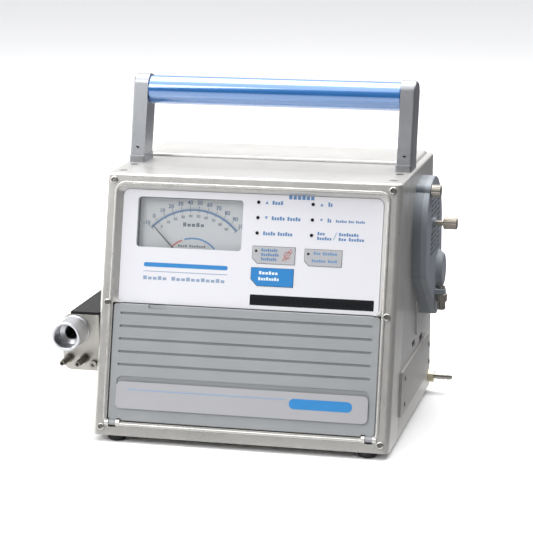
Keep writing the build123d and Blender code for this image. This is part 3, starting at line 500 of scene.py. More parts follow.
@dataclass(frozen=True)
class GlossPaint(Finish):
    """A smooth coloured metal sleeve under a clear coat with a faint orange peel."""

    colour: str
    deep: str
    roughness: float = 0.22
    metallic: float = 0.25

    def build(self, shader: Shader) -> None:
        """Build two close tones, the orange peel and fine scratches along the length."""
        slow = shader.noise(18.0, 3.0)
        scratches = shader.noise(900.0, 2.0, shader.stretched(Grain.ALONG_X.value))
        peel = shader.noise(420.0)
        shader.surface(
            {
                "Base Color": shader.mix(slow, paint(self.colour), paint(self.deep)),
                "Metallic": self.metallic,
                "Roughness": self.roughness + (scratches - 0.5) * 0.12,
                "Coat Weight": 1.0 - ((scratches - 0.6) * 2.0).clamped() * 0.3,
                "Coat Roughness": 0.08,
                "Coat IOR": 2.3,
                "Normal": shader.bump(peel, 0.01 * MM),
            }
        )


@dataclass(frozen=True)
class Glass(Finish):
    """A thin clear or smoked window with wiped dust on it."""

    colour: str
    alpha: float
    roughness: float = 0.05

    def build(self, shader: Shader) -> None:
        """Build the dust and the smears that a cloth leaves."""
        smears = shader.noise(60.0, 4.0, shader.stretched((0.4, 1.0, 1.0)))
        dust = ((shader.noise(1200.0) - 0.68) * 6.0).clamped()
        shader.surface(
            {
                "Base Color": shader.mix(dust * 0.5, paint(self.colour), paint("E8E8E4")),
                "Roughness": self.roughness + (smears - 0.4) * 0.10,
                "Alpha": (self.alpha + dust * 0.10).clamped(),
                "IOR": 1.49,
            }
        )


@dataclass(frozen=True)
class Ink(Finish):
    """Screen-printed ink with a faintly uneven layer."""

    colour: str
    roughness: float = 0.45

    def build(self, shader: Shader) -> None:
        """Build thin spots and a dull, slightly uneven surface."""
        base = paint(self.colour)
        thin = shader.noise(1500.0, 2.0)
        shader.surface(
            {
                "Base Color": shader.mix(thin, shade(base, 0.9), shade(base, 1.1)),
                "Roughness": self.roughness + (thin - 0.5) * 0.2,
            }
        )


@dataclass(frozen=True)
class Felt(Finish):
    """Soft fibrous filter felt."""

    colour: str

    def build(self, shader: Shader) -> None:
        """Build crossing fibres and grey dust in them."""
        base = paint(self.colour)
        fibres = shader.noise(2200.0, 4.0, shader.stretched((1.0, 1.0, 0.25)))
        dust = shader.noise(120.0, 4.0)
        shader.surface(
            {
                "Base Color": shader.mix(fibres * dust, base, shade(base, 0.55)),
                "Roughness": 0.85 + (fibres - 0.5) * 0.1,
                "Normal": shader.bump(fibres, 0.15 * MM),
            }
        )


@dataclass(frozen=True)
class CircuitBoard(Finish):
    """Green lacquer over copper tracks."""

    lacquer: str
    track: str

    def build(self, shader: Shader) -> None:
        """Build the tracks as raised stepped cells under the lacquer."""
        settings = {"distance": "CHEBYCHEV"}
        cells = shader.node(
            "ShaderNodeTexVoronoi", settings, {"Vector": shader.place, "Scale": 260.0, "Randomness": 0.5}
        )
        tracks = (cells * 9.0 - 3.2).clamped()
        shader.surface(
            {
                "Base Color": shader.mix(tracks, paint(self.track), paint(self.lacquer)),
                "Roughness": 0.32 + tracks * 0.12,
                "Normal": shader.bump(tracks, 0.03 * MM),
            }
        )


# ---------------------------------------------------------------------------------------------------------
# Placing and dressing
# ---------------------------------------------------------------------------------------------------------


def place_mesh(name: str, mesh: bpy.types.Mesh) -> bpy.types.Object:
    """Put a mesh in the scene as an object at the origin."""
    made = bpy.data.objects.new(name, mesh)
    bpy.context.scene.collection.objects.link(made)
    return made


def dress(frame: dict, finishes: dict[str, Finish]) -> None:
    """Give CAD pieces their finishes.

    Args:
        finishes: the finish of each node.
    """
    for node, finish in finishes.items():
        piece = frame["nodes"][node]
        material = finish.make(node + "_finish")
        if not piece.material_slots:
            piece.data.materials.append(material)
        for slot in piece.material_slots:
            slot.material = material
        LOG.info("dressed %s", node)


@dataclass(frozen=True)
class Extent:
    """A piece's outline on the panel and the level of its front, in the panel's coordinates."""

    left: float
    right: float
    low: float
    high: float
    front: float

    @property
    def middle(self) -> Point:
        """The middle of the face."""
        return ((self.left + self.right) / 2, (self.low + self.high) / 2)


class PanelFrame:
    """The leaning front's own coordinates: x to the right, y up the slope and z out of the front."""

    def __init__(self, frame: dict) -> None:
        """Work out the lean from the meter's joint and the origin from the front frame.
        """
        self.nodes = frame["nodes"]
        self.joints = {joint["name"]: joint for joint in frame["joints"]}
        inward = Vector(self.joints["pointer_turn"]["axis"]).normalized()
        outward = -inward
        up_slope = Vector((0.0, outward.z, -outward.y))
        turn = Matrix((Vector((1.0, 0.0, 0.0)), up_slope, outward)).transposed()
        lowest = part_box("front_frame")[0].z
        reach = max(vertex.co.dot(outward) for vertex in self.nodes["front_frame"].data.vertices)
        corner_y = (outward.z * lowest - reach) / -outward.y
        self.matrix = Matrix.Translation((0.0, corner_y, lowest)) @ turn.to_4x4()
        self.inverse = self.matrix.inverted()

    def extent(self, node: str) -> Extent:
        """Give the box round a CAD piece in these coordinates."""
        points = [self.inverse @ vertex.co for vertex in self.nodes[node].data.vertices]
        low = [min(point[i] for point in points) for i in range(3)]
        high = [max(point[i] for point in points) for i in range(3)]
        return Extent(low[0], high[0], low[1], high[1], high[2])

    def pivot(self, joint: str) -> Point:
        """Give where a joint's axis meets the panel."""
        point = self.inverse @ Vector(self.joints[joint]["pos_m"])
        return (point.x, point.y)


@dataclass(frozen=True)
class Line:
    """A line of stand-in writing, in millimetres from a point, with the blocks in each word."""

    left: float
    right: float
    low: float
    high: float
    counts: tuple[int, ...]


class Print:
    """Flat printed shapes of one ink on one level of a panel, built as one mesh."""

    def __init__(self, name: str, body: str, matrix: Matrix, level: float) -> None:
        """Start an empty print.

        Args:
            name: the name of the piece.
            body: the CAD body that it rides on.
            matrix: the frame that the shapes are drawn in.
            level: the height of the printed surface in that frame.
        """
        self.name = name
        self.body = body
        self.matrix = matrix
        self.low = level - INK_SINK
        self.high = level + INK_HEIGHT
        self.mesh = bmesh.new()

    def shape(self, outline: list[Point]) -> None:
        """Add a closed convex shape."""
        lower = [self.mesh.verts.new((x, y, self.low)) for x, y in outline]
        upper = [self.mesh.verts.new((x, y, self.high)) for x, y in outline]
        self.mesh.faces.new(list(reversed(lower)))
        self.mesh.faces.new(upper)
        for i in range(len(outline)):
            after = (i + 1) % len(outline)
            self.mesh.faces.new((lower[i], lower[after], upper[after], upper[i]))

    def bar(self, left: float, right: float, low: float, high: float, radius: float = 0.0) -> None:
        """Add a bar, with rounded corners if a radius is given."""
        if not radius:
            self.shape([(left, low), (right, low), (right, high), (left, high)])
            return
        corners = [
            (right - radius, low + radius, -90.0),
            (right - radius, high - radius, 0.0),
            (left + radius, high - radius, 90.0),
            (left + radius, low + radius, 180.0),
        ]
        outline = []
        for x, y, start in corners:
            for step in range(CORNER_STEPS + 1):
                outline.append(polar((x, y), radius, start + 90.0 * step / CORNER_STEPS))
        self.shape(outline)

    def disc(self, centre: Point, radius: float, sides: int = 20) -> None:
        """Add a disc."""
        self.shape([polar(centre, radius, 360.0 * i / sides) for i in range(sides)])

    def triangle(self, centre: Point, size: float, up: bool) -> None:
        """Add a small triangle that points up or down."""
        x, y = centre
        tip = size / 2 if up else -size / 2
        outline = [(x - size * 0.55, y - tip), (x + size * 0.55, y - tip), (x, y + tip)]
        self.shape(outline if up else list(reversed(outline)))

    def stroke(self, start: Point, end: Point, width: float) -> None:
        """Add a straight stroke from one point to another."""
        along = Vector((end[0] - start[0], end[1] - start[1])).normalized() * (width / 2)
        side = Vector((-along.y, along.x))
        self.shape(
            [
                (start[0] - side.x, start[1] - side.y),
                (end[0] - side.x, end[1] - side.y),
                (end[0] + side.x, end[1] + side.y),
                (start[0] + side.x, start[1] + side.y),
            ]
        )

    def arc(self, centre: Point, radius: float, width: float, start: float, end: float) -> None:
        """Add a band along an arc.

        Args:
            centre: the arc's centre.
            radius: the radius of the band's middle line.
            width: the band's width.
            start: the angle it starts at, in degrees.
            end: the angle it ends at, in degrees, more than the start.
        """
        steps = max(3, round((end - start) / ARC_STEP))
        rails = []
        for reach in (radius - width / 2, radius + width / 2):
            for level in (self.low, self.high):
                points = [polar(centre, reach, start + (end - start) * i / steps) for i in range(steps + 1)]
                rails.append([self.mesh.verts.new((*point, level)) for point in points])
        inner_low, inner_high, outer_low, outer_high = rails
        around = (inner_low, outer_low, outer_high, inner_high, inner_low)
        for first, second in zip(around, around[1:]):
            self._strip(first, second)
        self.mesh.faces.new((inner_low[0], outer_low[0], outer_high[0], inner_high[0]))
        self.mesh.faces.new((inner_low[-1], inner_high[-1], outer_high[-1], outer_low[-1]))

    def _strip(self, first: list, second: list) -> None:
        """Join two rails of points with a strip of faces."""
        for i in range(len(first) - 1):
            self.mesh.faces.new((first[i], first[i + 1], second[i + 1], second[i]))

    def lines(self, origin: Point, lines: tuple[Line, ...]) -> None:
        """Add lines of writing as rows of small plain blocks, so that they say nothing.

        Args:
            origin: the point that the lines are measured from.
            lines: the lines.
        """
        x, y = origin
        for line in lines:
            low, high = y + line.low * MM, y + line.high * MM
            width = (line.right - line.left) * MM
            pitch = width / (sum(line.counts) + WORD_GAP * (len(line.counts) - 1))
            start = x + line.left * MM
            for count in line.counts:
                for index in range(count):
                    top = high if index % 3 == 0 else low + (high - low) * SMALL_BLOCK
                    self.bar(start, start + pitch * BLOCK_SHARE, low, top)
                    start += pitch
                start += pitch * WORD_GAP

    def number(self, value: int, centre: Point, size: float) -> None:
        """Add a number of a dial, centred on a point."""
        curve = bpy.data.curves.new("figure", "FONT")
        curve.body = str(value)
        curve.size = size
        curve.offset = size * FIGURE_WEIGHT
        curve.align_x = "CENTER"
        curve.align_y = "CENTER"
        curve.resolution_u = 3
        curve.extrude = (self.high - self.low) / 2
        carrier = bpy.data.objects.new("figure", curve)
        bpy.context.scene.collection.objects.link(carrier)
        bpy.context.view_layer.update()
        graph = bpy.context.evaluated_depsgraph_get()
        figure = bpy.data.meshes.new_from_object(carrier.evaluated_get(graph), depsgraph=graph)
        bpy.data.objects.remove(carrier)
        figure.transform(Matrix.Translation((centre[0], centre[1], (self.low + self.high) / 2)))
        self.mesh.from_mesh(figure)
        bpy.data.meshes.remove(figure)

    def done(self, ink: Finish) -> None:
        """Finish the print.

        Args:
            ink: the finish of its shapes.
        """
        bmesh.ops.recalc_face_normals(self.mesh, faces=self.mesh.faces)
        mesh = bpy.data.meshes.new(self.name)
        self.mesh.to_mesh(mesh)
        self.mesh.free()
        mesh.transform(self.matrix)
        mesh.materials.append(ink.make(self.name + "_ink"))
        settle(place_mesh(self.name, mesh), self.body)


def settle(piece: bpy.types.Object, body: str) -> None:
    """Let a finished piece ride on its body, and report it."""
    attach(piece, body)
    LOG.info("built %s on %s with %d faces", piece.name, body, len(piece.data.polygons))


def point_cloud(name: str, points: list[tuple[float, float, float]]) -> bpy.types.Mesh:
    """Make a mesh of loose points for a geometry tree to work on."""
    mesh = bpy.data.meshes.new(name)
    mesh.from_pydata(points, [], [])
    return mesh


# ---------------------------------------------------------------------------------------------------------
# The studio
# ---------------------------------------------------------------------------------------------------------


@dataclass(frozen=True)
class AreaLight:
    """A soft rectangular light: its place, the point it faces, its width and height, and its watts."""

    name: str
    place: tuple[float, float, float]
    target: tuple[float, float, float]
    size: tuple[float, float]
    power: float


@dataclass
class Studio:
    """A pale floor, a bright room overhead, soft lights and the camera.

    The camera sees the floor and the room as plain white. Reflections and bounced light meet a dimmer
    room and a dimmer floor, which is darkest on the object's right, so that its metal keeps contrast.
    """

    floor_size: float = 14.0
    dark_start: float = 0.12
    dark_slope: float = 18.0
    room_strength: float = 0.85
    sun_energy: float = 0.8
    sun_spread: float = 50.0
    sun_direction: tuple[float, float, float] = (0.35, 0.45, -1.0)
    lights: tuple[AreaLight, ...] = (
        AreaLight("key_light", (-1.1, -1.7, 1.5), (0.0, 0.0, 0.12), (1.0, 1.0), 18.0),
        AreaLight("top_light", (0.0, 0.45, 1.65), (0.0, 0.1, 0.1), (2.4, 1.5), 52.0),
        AreaLight("left_strip", (-1.5, -0.2, 0.5), (0.0, 0.0, 0.1), (0.4, 0.9), 6.0),
    )
    camera_place: tuple[float, float, float] = (0.3473, -1.4861, 0.4474)
    camera_azimuth: float = 13.21
    camera_elevation: float = 12.20
    camera_lens: float = 137.2

    def build(self) -> None:
        """Build everything that isn't part of the object."""
        self._floor()
        self._world()
        for light in self.lights:
            self._hang(light)
        self._sun()
        self._camera()

    def _floor(self) -> None:
        """Build the floor: pale and slightly uneven to the camera, dimmer to every other ray."""
        grid = bmesh.new()
        bmesh.ops.create_grid(grid, x_segments=8, y_segments=8, size=self.floor_size / 2)
        mesh = bpy.data.meshes.new("floor")
        grid.to_mesh(mesh)
        grid.free()
        shader = Shader("floor_paint")
        slow = shader.noise(2.0, 3.0)
        colour = shader.mix(slow, grey(0.93, 0.005), grey(0.95))
        inputs = {"Base Color": colour, "Roughness": 0.6 + slow * 0.1, "Specular IOR Level": 0.2}
        pale = shader.node("ShaderNodeBsdfPrincipled", {}, inputs)
        across = shader.node("ShaderNodeSeparateXYZ", {}, {"Vector": shader.place}, "X")
        to_right = ((across - self.dark_start) * self.dark_slope).clamped()
        dimmed = shader.mix(to_right, grey(0.72), grey(0.10, 0.005))
        dim = shader.node("ShaderNodeBsdfDiffuse", {}, {"Color": dimmed})
        seen = shader.node("ShaderNodeLightPath", output="Is Camera Ray")
        mixed = shader.node("ShaderNodeMixShader", {}, {0: seen, 1: dim, 2: pale})
        shader.end("ShaderNodeOutputMaterial", {"Surface": mixed})
        mesh.materials.append(shader.material)
        place_mesh("floor", mesh)

    def _world(self) -> None:
        """Build a room that is bright overhead and behind, and dim in front, seen as plain white."""
        world = bpy.data.worlds.new("room")
        world.use_nodes = True
        tree = NodeTree(world.node_tree)
        direction = tree.node("ShaderNodeTexCoord", output="Generated")
        x = tree.node("ShaderNodeSeparateXYZ", {}, {"Vector": direction}, "X")
        lift = x.output("Z") * 0.55 + x.output("Y") * 0.33 - x * 0.16 + 0.30
        stops = [
            (0.0, grey(0.13, 0.005)),
            (0.25, grey(0.17, 0.005)),
            (0.45, grey(0.42, 0.01)),
            (0.70, (0.85, 0.86, 0.88, 1.0)),
            (1.0, WHITE),
        ]
        room = tree.node("ShaderNodeValToRGB", {"stops": stops}, {"Fac": lift})
        lit = tree.node("ShaderNodeBackground", {}, {"Color": room, "Strength": self.room_strength})
        plain = tree.node("ShaderNodeBackground", {}, {"Color": WHITE, "Strength": 1.0})
        seen = tree.node("ShaderNodeLightPath", output="Is Camera Ray")
        mixed = tree.node("ShaderNodeMixShader", {}, {0: seen, 1: lit, 2: plain})
        tree.end("ShaderNodeOutputWorld", {"Surface": mixed})
        bpy.context.scene.world = world

    def _sun(self) -> None:
        """Add a wide, weak sun that lights the whole floor evenly."""
        lamp = bpy.data.lights.new("wide_sun", "SUN")
        lamp.energy = self.sun_energy
        lamp.angle = math.radians(self.sun_spread)
        holder = bpy.data.objects.new("wide_sun", lamp)
        bpy.context.scene.collection.objects.link(holder)
        holder.rotation_euler = Vector(self.sun_direction).to_track_quat("-Z", "Y").to_euler()

    @staticmethod
    def _hang(light: AreaLight) -> None:
        """Add one area light that faces its target."""
        lamp = bpy.data.lights.new(light.name, "AREA")
        lamp.shape = "RECTANGLE"
        lamp.size, lamp.size_y = light.size
        lamp.energy = light.power
        holder = bpy.data.objects.new(light.name, lamp)
        bpy.context.scene.collection.objects.link(holder)
        holder.location = light.place
        facing = Vector(light.target) - Vector(light.place)
        holder.rotation_euler = facing.to_track_quat("-Z", "Y").to_euler()

    def _camera(self) -> None:
        """Add the camera and a plain view of its picture."""
        lens = bpy.data.cameras.new("camera")
        lens.lens = self.camera_lens
        lens.sensor_width = 36.0
        holder = bpy.data.objects.new("camera", lens)
        bpy.context.scene.collection.objects.link(holder)
        holder.location = self.camera_place
        tilt = math.radians(90.0 - self.camera_elevation)
        holder.rotation_euler = (tilt, 0.0, math.radians(self.camera_azimuth))
        scene = bpy.context.scene
        scene.camera = holder
        scene.view_settings.view_transform = "Standard"
        scene.view_settings.look = "None"


# ---------------------------------------------------------------------------------------------------------
# The ventilator's sub-assemblies
# ---------------------------------------------------------------------------------------------------------


@dataclass
class Casing:
    """The two halves of the case, its floor, feet and screws."""

    silver: str = "CCCAC6"
    rear_silver: str = "C4C2BF"

    def build(self, frame: dict) -> None:
        """Dress the case."""
        # The lip's edges get a strong painted highlight, mixed with wear.
        lip = Metal(self.silver, 0.32, 0.65, Grain.ALONG_Z, 1700.0, edge_radius=1.3 * MM, edge_shine=0.9)
        shell = Metal(self.rear_silver, 0.40, 0.6, edge_radius=0.8 * MM)
        dress(
            frame,
            {
                "front_frame": lip,
                "rear_shell": shell,
                "base_plate": Metal("A9A9A8", 0.45, 0.8, Grain.ALONG_Y),
                "feet": Moulding("16161A", 0.72, 1200.0, 0.06 * MM, dust=0.12),
                "chassis_tray": Metal("B9BABA", 0.40, 1.0, Grain.ALONG_X),
                "frame_screws": Metal("C4C1BC", 0.22, 1.0, grain_scale=2600.0, blotch=0.2),
                "top_screws": SCREW_STEEL,
                "rear_screws": SCREW_STEEL,
            },
        )


@dataclass
class PressureMeter:
    """The pressure meter: its dial's print, its pointer and its window."""

    scale_radius: float = 44.0 * MM
    scale_width: float = 1.5 * MM
    first_angle: float = 138.0
    last_angle: float = 42.0
    lowest: int = -10
    highest: int = 100
    tick_reach: float = 44.6 * MM
    number_size: float = 4.2 * MM
    number_reach: float = 49.4 * MM
    small_number_size: float = 3.024 * MM
    small_number_reach: float = 39.4 * MM
    zone_radius: float = 22.7 * MM
    zone_width: float = 1.3 * MM
    scale_colour: str = "557FAE"

    def build(self, frame: dict, panel: PanelFrame) -> None:
        """Dress the meter and print its dial."""
        dress(
            frame,
            {
                "meter_case": Moulding("17171A", 0.55),
                "meter_dial": Film("D0D3D5", "C8CCCF", 0.5),
                "meter_window": Glass("D4D8DA", 0.10, 0.04),
                "meter_pointer": Moulding("1B1C20", 0.4, 2500.0, 0.01 * MM, dust=0.02),
            },
        )
        level = panel.extent("meter_dial").front
        centre = panel.pivot("pointer_turn")
        self._scale(panel, centre, level)
        self._figures(panel, centre, level)
        self._zones(panel, centre, level)

    def _angle(self, value: float) -> float:
        """Give the angle of a pressure on the scale, in degrees."""
        share = (value - self.lowest) / (self.highest - self.lowest)
        return self.first_angle + (self.last_angle - self.first_angle) * share

    def _scale(self, panel: PanelFrame, centre: Point, level: float) -> None:
        """Print the scale's band, and grow its ticks across it with a geometry tree."""
        band = Print("dial_band", "case", panel.matrix, level)
        band.arc(centre, self.scale_radius, self.scale_width, self.last_angle, self.first_angle)
        band.done(Ink(self.scale_colour))
        for name, count, length, width in (("long", 12, 5.2, 0.42), ("short", 56, 2.9, 0.24)):
            step = (self.last_angle - self.first_angle) / (count - 1)
            tree = GeometryTree(
                f"dial_{name}_ticks_tree",
                {
                    "Length": ("NodeSocketFloat", length * MM),
                    "Width": ("NodeSocketFloat", width * MM),
                    "First angle": ("NodeSocketFloat", math.radians(self.first_angle)),
                    "Step": ("NodeSocketFloat", math.radians(step)),
                },
            )
            index = tree.node("GeometryNodeInputIndex")
            turn = tree.value("First angle") + index * tree.value("Step")
            tick = tree.block(tree.value("Length"), tree.value("Width"), INK_HEIGHT + INK_SINK)
            rotation = tree.node("ShaderNodeCombineXYZ", {}, {"Z": turn})
            ticks = tree.instances(tree.given, tick, rotation)
            tree.close(ticks, Ink("33475E").make(f"dial_{name}_tick_ink"))
            angles = [self.first_angle + step * i for i in range(count)]
            points = [(*polar((0.0, 0.0), self.tick_reach, angle), 0.0) for angle in angles]
            place = panel.matrix @ Matrix.Translation((*centre, level + (INK_HEIGHT - INK_SINK) / 2))
            seeds = point_cloud(f"dial_{name}_points", points)
            settle(tree.grow(f"dial_{name}_ticks", seeds, place), "case")

    def _figures(self, panel: PanelFrame, centre: Point, level: float) -> None:
        """Print the numbers above and below the scale."""
        outer = Print("dial_numbers", "case", panel.matrix, level)
        inner = Print("dial_small_numbers", "case", panel.matrix, level)
        for value in range(self.lowest, self.highest + 1, 10):
            angle = self._angle(value)
            outer.number(value, polar(centre, self.number_reach, angle), self.number_size)
            if self.lowest < value < self.highest:
                place = polar(centre, self.small_number_reach, angle)
                inner.number(value, place, self.small_number_size)
        outer.done(Ink("34577F"))
        inner.done(Ink("565C66"))

    def _zones(self, panel: PanelFrame, centre: Point, level: float) -> None:
        """Print the small red and blue arcs under the scale, and a block of writing below them."""
        red = Print("dial_red_zone", "case", panel.matrix, level)
        red.arc(centre, self.zone_radius, self.zone_width, 112.0, 137.0)
        red.done(Ink("C4523F"))
        blue = Print("dial_blue_zone", "case", panel.matrix, level)
        blue.arc(centre, self.zone_radius, self.zone_width, 43.0, 108.0)
        blue.done(Ink("3F7DB5"))
        note = Print("dial_note", "case", panel.matrix, level)
        x, y = centre
        note_low = self.zone_radius / MM - 6.6
        unit_low = self.scale_radius / MM - 12.6
        note.lines(
            (x, y),
            (
                Line(-11.5, 10.0, note_low, note_low + 1.7, (4, 7)),
                Line(-8.5, 8.5, unit_low, unit_low + 3.0, (5,)),
            ),
        )
        note.done(Ink("5A6470"))


@dataclass
class AlarmPanel:
    """The white upper panel with its lamps, keys and display."""

    slate: str = "5E86B4"
    bright_blue: str = "2E86C8"
    lamp_rows_apart: float = 22.7 * MM
    symbol_size: float = 2.2 * MM
    small_symbol_size: float = 2.0 * MM
    cells: int = 24
    dots_across: int = 5
    dots_up: int = 7
    dot_pitch: float = 0.56 * MM
    display_margin: float = 2.0 * MM

    def build(self, frame: dict, panel: PanelFrame) -> None:
        """Dress the panel and print it."""
        dress(
            frame,
            {
                "upper_panel": Film("E6E6EA", "E2E2E8", 0.42),
                "indicator_leds": Moulding("0B0C12", 0.18, 2600.0, 0.004 * MM, dust=0.0, coat=0.6),
                "display_window": Moulding("1B1C1F", 0.14, 2600.0, 0.003 * MM, dust=0.01, coat=0.8),
                "silence_key": Film("B9BABD", "B2B3B7", 0.45),
                "battery_key": Film("B9BABD", "B2B3B7", 0.45),
                "manual_key": Film("2C86C9", "267DBF", 0.40),
            },
        )
        self._labels(panel)
        self._name_bars(panel)
        self._key_prints(panel)
        self._display(panel)

    def _labels(self, panel: PanelFrame) -> None:
        """Print the heading and a label beside each lamp, as plain blocks."""
        lamps = panel.extent("indicator_leds")
        radius = (lamps.high - lamps.low - self.lamp_rows_apart) / 2
        left, right = lamps.left + radius, lamps.right - radius
        top, bottom = lamps.high - radius, lamps.low + radius
        middle = (top + bottom) / 2
        ink = Print("panel_labels", "case", panel.matrix, panel.extent("upper_panel").front)
        ink.lines((left, top), (Line(22.8, 42.6, 3.0, 6.6, (6,)), Line(10.5, 19.0, -1.4, 1.4, (4,))))
        ink.lines((left, middle), (Line(10.5, 32.5, -1.4, 1.4, (5, 5)),))
        ink.lines((left, bottom), (Line(4.6, 27.0, -1.4, 1.4, (5, 6)),))
        ink.lines((right, top), (Line(11.4, 14.8, -1.2, 2.0, (2,)),))
        ink.lines(
            (right, middle),
            (Line(11.4, 14.6, -1.4, 1.6, (2,)), Line(17.6, 39.5, -1.1, 0.8, (6, 3, 5))),
        )
        ink.lines(
            (right, bottom),
            (
                Line(4.4, 10.2, 0.4, 2.8, (3,)),
                Line(4.4, 15.4, -3.1, -0.7, (6,)),
                Line(20.4, 35.4, 0.4, 2.8, (8,)),
                Line(20.4, 39.6, -3.1, -0.7, (3, 6)),
            ),
        )
        for x in (left + 6.4 * MM, right + 6.6 * MM):
            ink.triangle((x, top), self.symbol_size, True)
        ink.triangle((left + 6.4 * MM, middle), self.symbol_size, False)
        ink.triangle((right + 6.8 * MM, middle), self.small_symbol_size, False)
        ink.stroke((right + 16.6 * MM, bottom - 2.8 * MM), (right + 18.6 * MM, bottom + 2.8 * MM), 0.4 * MM)
        ink.done(Ink(self.slate))

    def _name_bars(self, panel: PanelFrame) -> None:
        """Print plain bars where a maker would put a name."""
        window = panel.extent("meter_window")
        face = panel.extent("upper_panel").front
        left, under = window.left + 6.8 * MM, window.low
        right = window.right - 9.4 * MM
        name = Print("panel_blue_bar", "case", panel.matrix, face)
        name.bar(left, right, under - 14.6 * MM, under - 11.4 * MM, 1.4 * MM)
        name.done(Ink(self.bright_blue))
        lines = Print("panel_grey_lines", "case", panel.matrix, face)
        lines.bar(left, right, under - 18.2 * MM, under - 17.7 * MM)
        length = (right - left) / MM - 1.0
        lines.lines((left, under), (Line(0.0, length, -24.2, -21.4, (5, 11)),))
        lines.done(Ink("8FA3BC"))

    def _key_prints(self, panel: PanelFrame) -> None:
        """Print the three keys, each on its own body."""
        silence = tuple(
            Line(7.4, 7.4 + length, -4.4 - row * 3.3, -2.2 - row * 3.3, (8,))
            for row, length in enumerate((12.5, 13.6, 12.0))
        )
        battery = (Line(7.4, 25.2, -4.6, -2.4, (3, 6)), Line(6.2, 25.4, -10.0, -7.9, (6, 4)))
        manual = (Line(6.8, 21.4, -5.4, -3.0, (6,)), Line(6.4, 22.4, -9.8, -7.4, (8,)))
        self._key_label(panel, "silence_key", silence, "5F86B0", "key_grey")
        self._silence_mark(panel)
        self._key_label(panel, "battery_key", battery, "6C93BC", "key_grey")
        for node in ("silence_key", "battery_key"):
            key = panel.extent(node)
            lamp = Print(node + "_lamp", node, panel.matrix, key.front)
            lamp.disc((key.left + 3.4 * MM, key.high - 4.2 * MM), 1.0 * MM)
            lamp.done(Ink("3B2E2A", 0.2))
        self._key_label(panel, "manual_key", manual, "E6F1FA", "key_blue")

    @staticmethod
    def _key_label(panel: PanelFrame, node: str, lines: tuple[Line, ...], ink: str, slot: str) -> None:
        """Print the label of one key.

        Args:
            panel: the leaning front's coordinates.
            node: the key.
            lines: its lines, measured from its upper left corner.
            ink: the ink's colour.
            slot: the key's material slot; not used.
        """
        key = panel.extent(node)
        label = Print(node + "_label", node, panel.matrix, key.front)
        label.lines((key.left, key.high), lines)
        label.done(Ink(ink))

    @staticmethod
    def _silence_mark(panel: PanelFrame) -> None:
        """Print the crossed-out ring on the silence key."""
        silence = panel.extent("silence_key")
        x, top = silence.left, silence.high
        mark = Print("silence_key_mark", "silence_key", panel.matrix, silence.front)
        mark.stroke((x + 23.4 * MM, top - 10.8 * MM), (x + 29.8 * MM, top - 1.8 * MM), 0.55 * MM)
        mark.stroke((x + 25.4 * MM, top - 10.8 * MM), (x + 30.8 * MM, top - 3.2 * MM), 0.45 * MM)
        mark.arc((x + 27.2 * MM, top - 6.6 * MM), 2.5 * MM, 0.45 * MM, 20.0, 330.0)
        mark.done(Ink("B5554C"))

    def _display(self, panel: PanelFrame) -> None:
        """Grow the display's unlit dots behind its dark window with a geometry tree."""
        window = panel.extent("display_window")
        tree = GeometryTree(
            "display_dots_tree",
            {"Dot size": ("NodeSocketFloat", 0.42 * MM), "Dot height": ("NodeSocketFloat", 0.03 * MM)},
        )
        dot = tree.block(tree.value("Dot size"), tree.value("Dot size"), tree.value("Dot height"))
        dots = tree.instances(tree.given, dot, (0.0, 0.0, 0.0))
        tree.close(dots, Ink("14151A", 0.2).make("display_dot_ink"))
        cell_pitch = (window.right - window.left - 2 * self.display_margin) / self.cells
        points = []
        for cell in range(self.cells):
            start = window.left + self.display_margin + cell * cell_pitch
            for column in range(self.dots_across):
                for row in range(self.dots_up):
                    y = window.middle[1] + (row - (self.dots_up - 1) / 2) * self.dot_pitch
                    points.append((start + column * self.dot_pitch, y, window.front))
        seeds = point_cloud("display_points", points)
        settle(tree.grow("display_dots", seeds, panel.matrix), "case")


@dataclass
class ControlPanel:
    """The lower controls behind the cover."""

    keys: tuple[str, ...] = ("mode_key", "rate_key", "volume_key", "pressure_key")
    arrows: tuple[tuple[str, bool], ...] = (("up_key", True), ("down_key", False))
    arrow_size: float = 6.0 * MM

    def build(self, frame: dict, panel: PanelFrame) -> None:
        """Dress the lower controls and print their keys."""
        grey = Film("B4B6BA", "ADB0B5", 0.45)
        finishes: dict[str, Finish] = {name: grey for name in self.keys}
        finishes.update({name: Film("2C86C9", "267DBF", 0.40) for name, _ in self.arrows})
        finishes["standby_key"] = Film("8E9298", "868A91", 0.45)
        finishes["control_panel"] = Film("DADDE1", "D3D7DC", 0.45)
        finishes["setting_window"] = Moulding("0A0B10", 0.15, 2600.0, 0.003 * MM, dust=0.01, coat=0.7)
        finishes["keypad_board"] = CircuitBoard("1E6B3E", "6E8B4A")
        dress(frame, finishes)
        for node in self.keys:
            key = panel.extent(node)
            label = Print(node + "_label", node, panel.matrix, key.front)
            label.lines(key.middle, (Line(-8.5, 8.5, -1.2, 1.2, (6, 4)),))
            label.done(Ink("3E6A9A"))
            heading = Print(node + "_heading", "case", panel.matrix, panel.extent("control_panel").front)
            heading.lines((key.middle[0], key.low), (Line(-7.0, 7.0, -4.6, -2.6, (5, 4)),))
            heading.done(Ink("6F8098"))
        for node, up in self.arrows:
            key = panel.extent(node)
            arrow = Print(node + "_arrow", node, panel.matrix, key.front)
            arrow.triangle(key.middle, self.arrow_size, up)
            arrow.done(Ink("EEF4FA"))
        standby = panel.extent("standby_key")
        mark = Print("standby_key_mark", "standby_key", panel.matrix, standby.front)
        mark.arc(standby.middle, 3.6 * MM, 0.8 * MM, 115.0, 425.0)
        x, y = standby.middle
        mark.bar(x - 0.4 * MM, x + 0.4 * MM, y + 1.0 * MM, y + 4.6 * MM)
        mark.done(Ink("F2F3F5"))


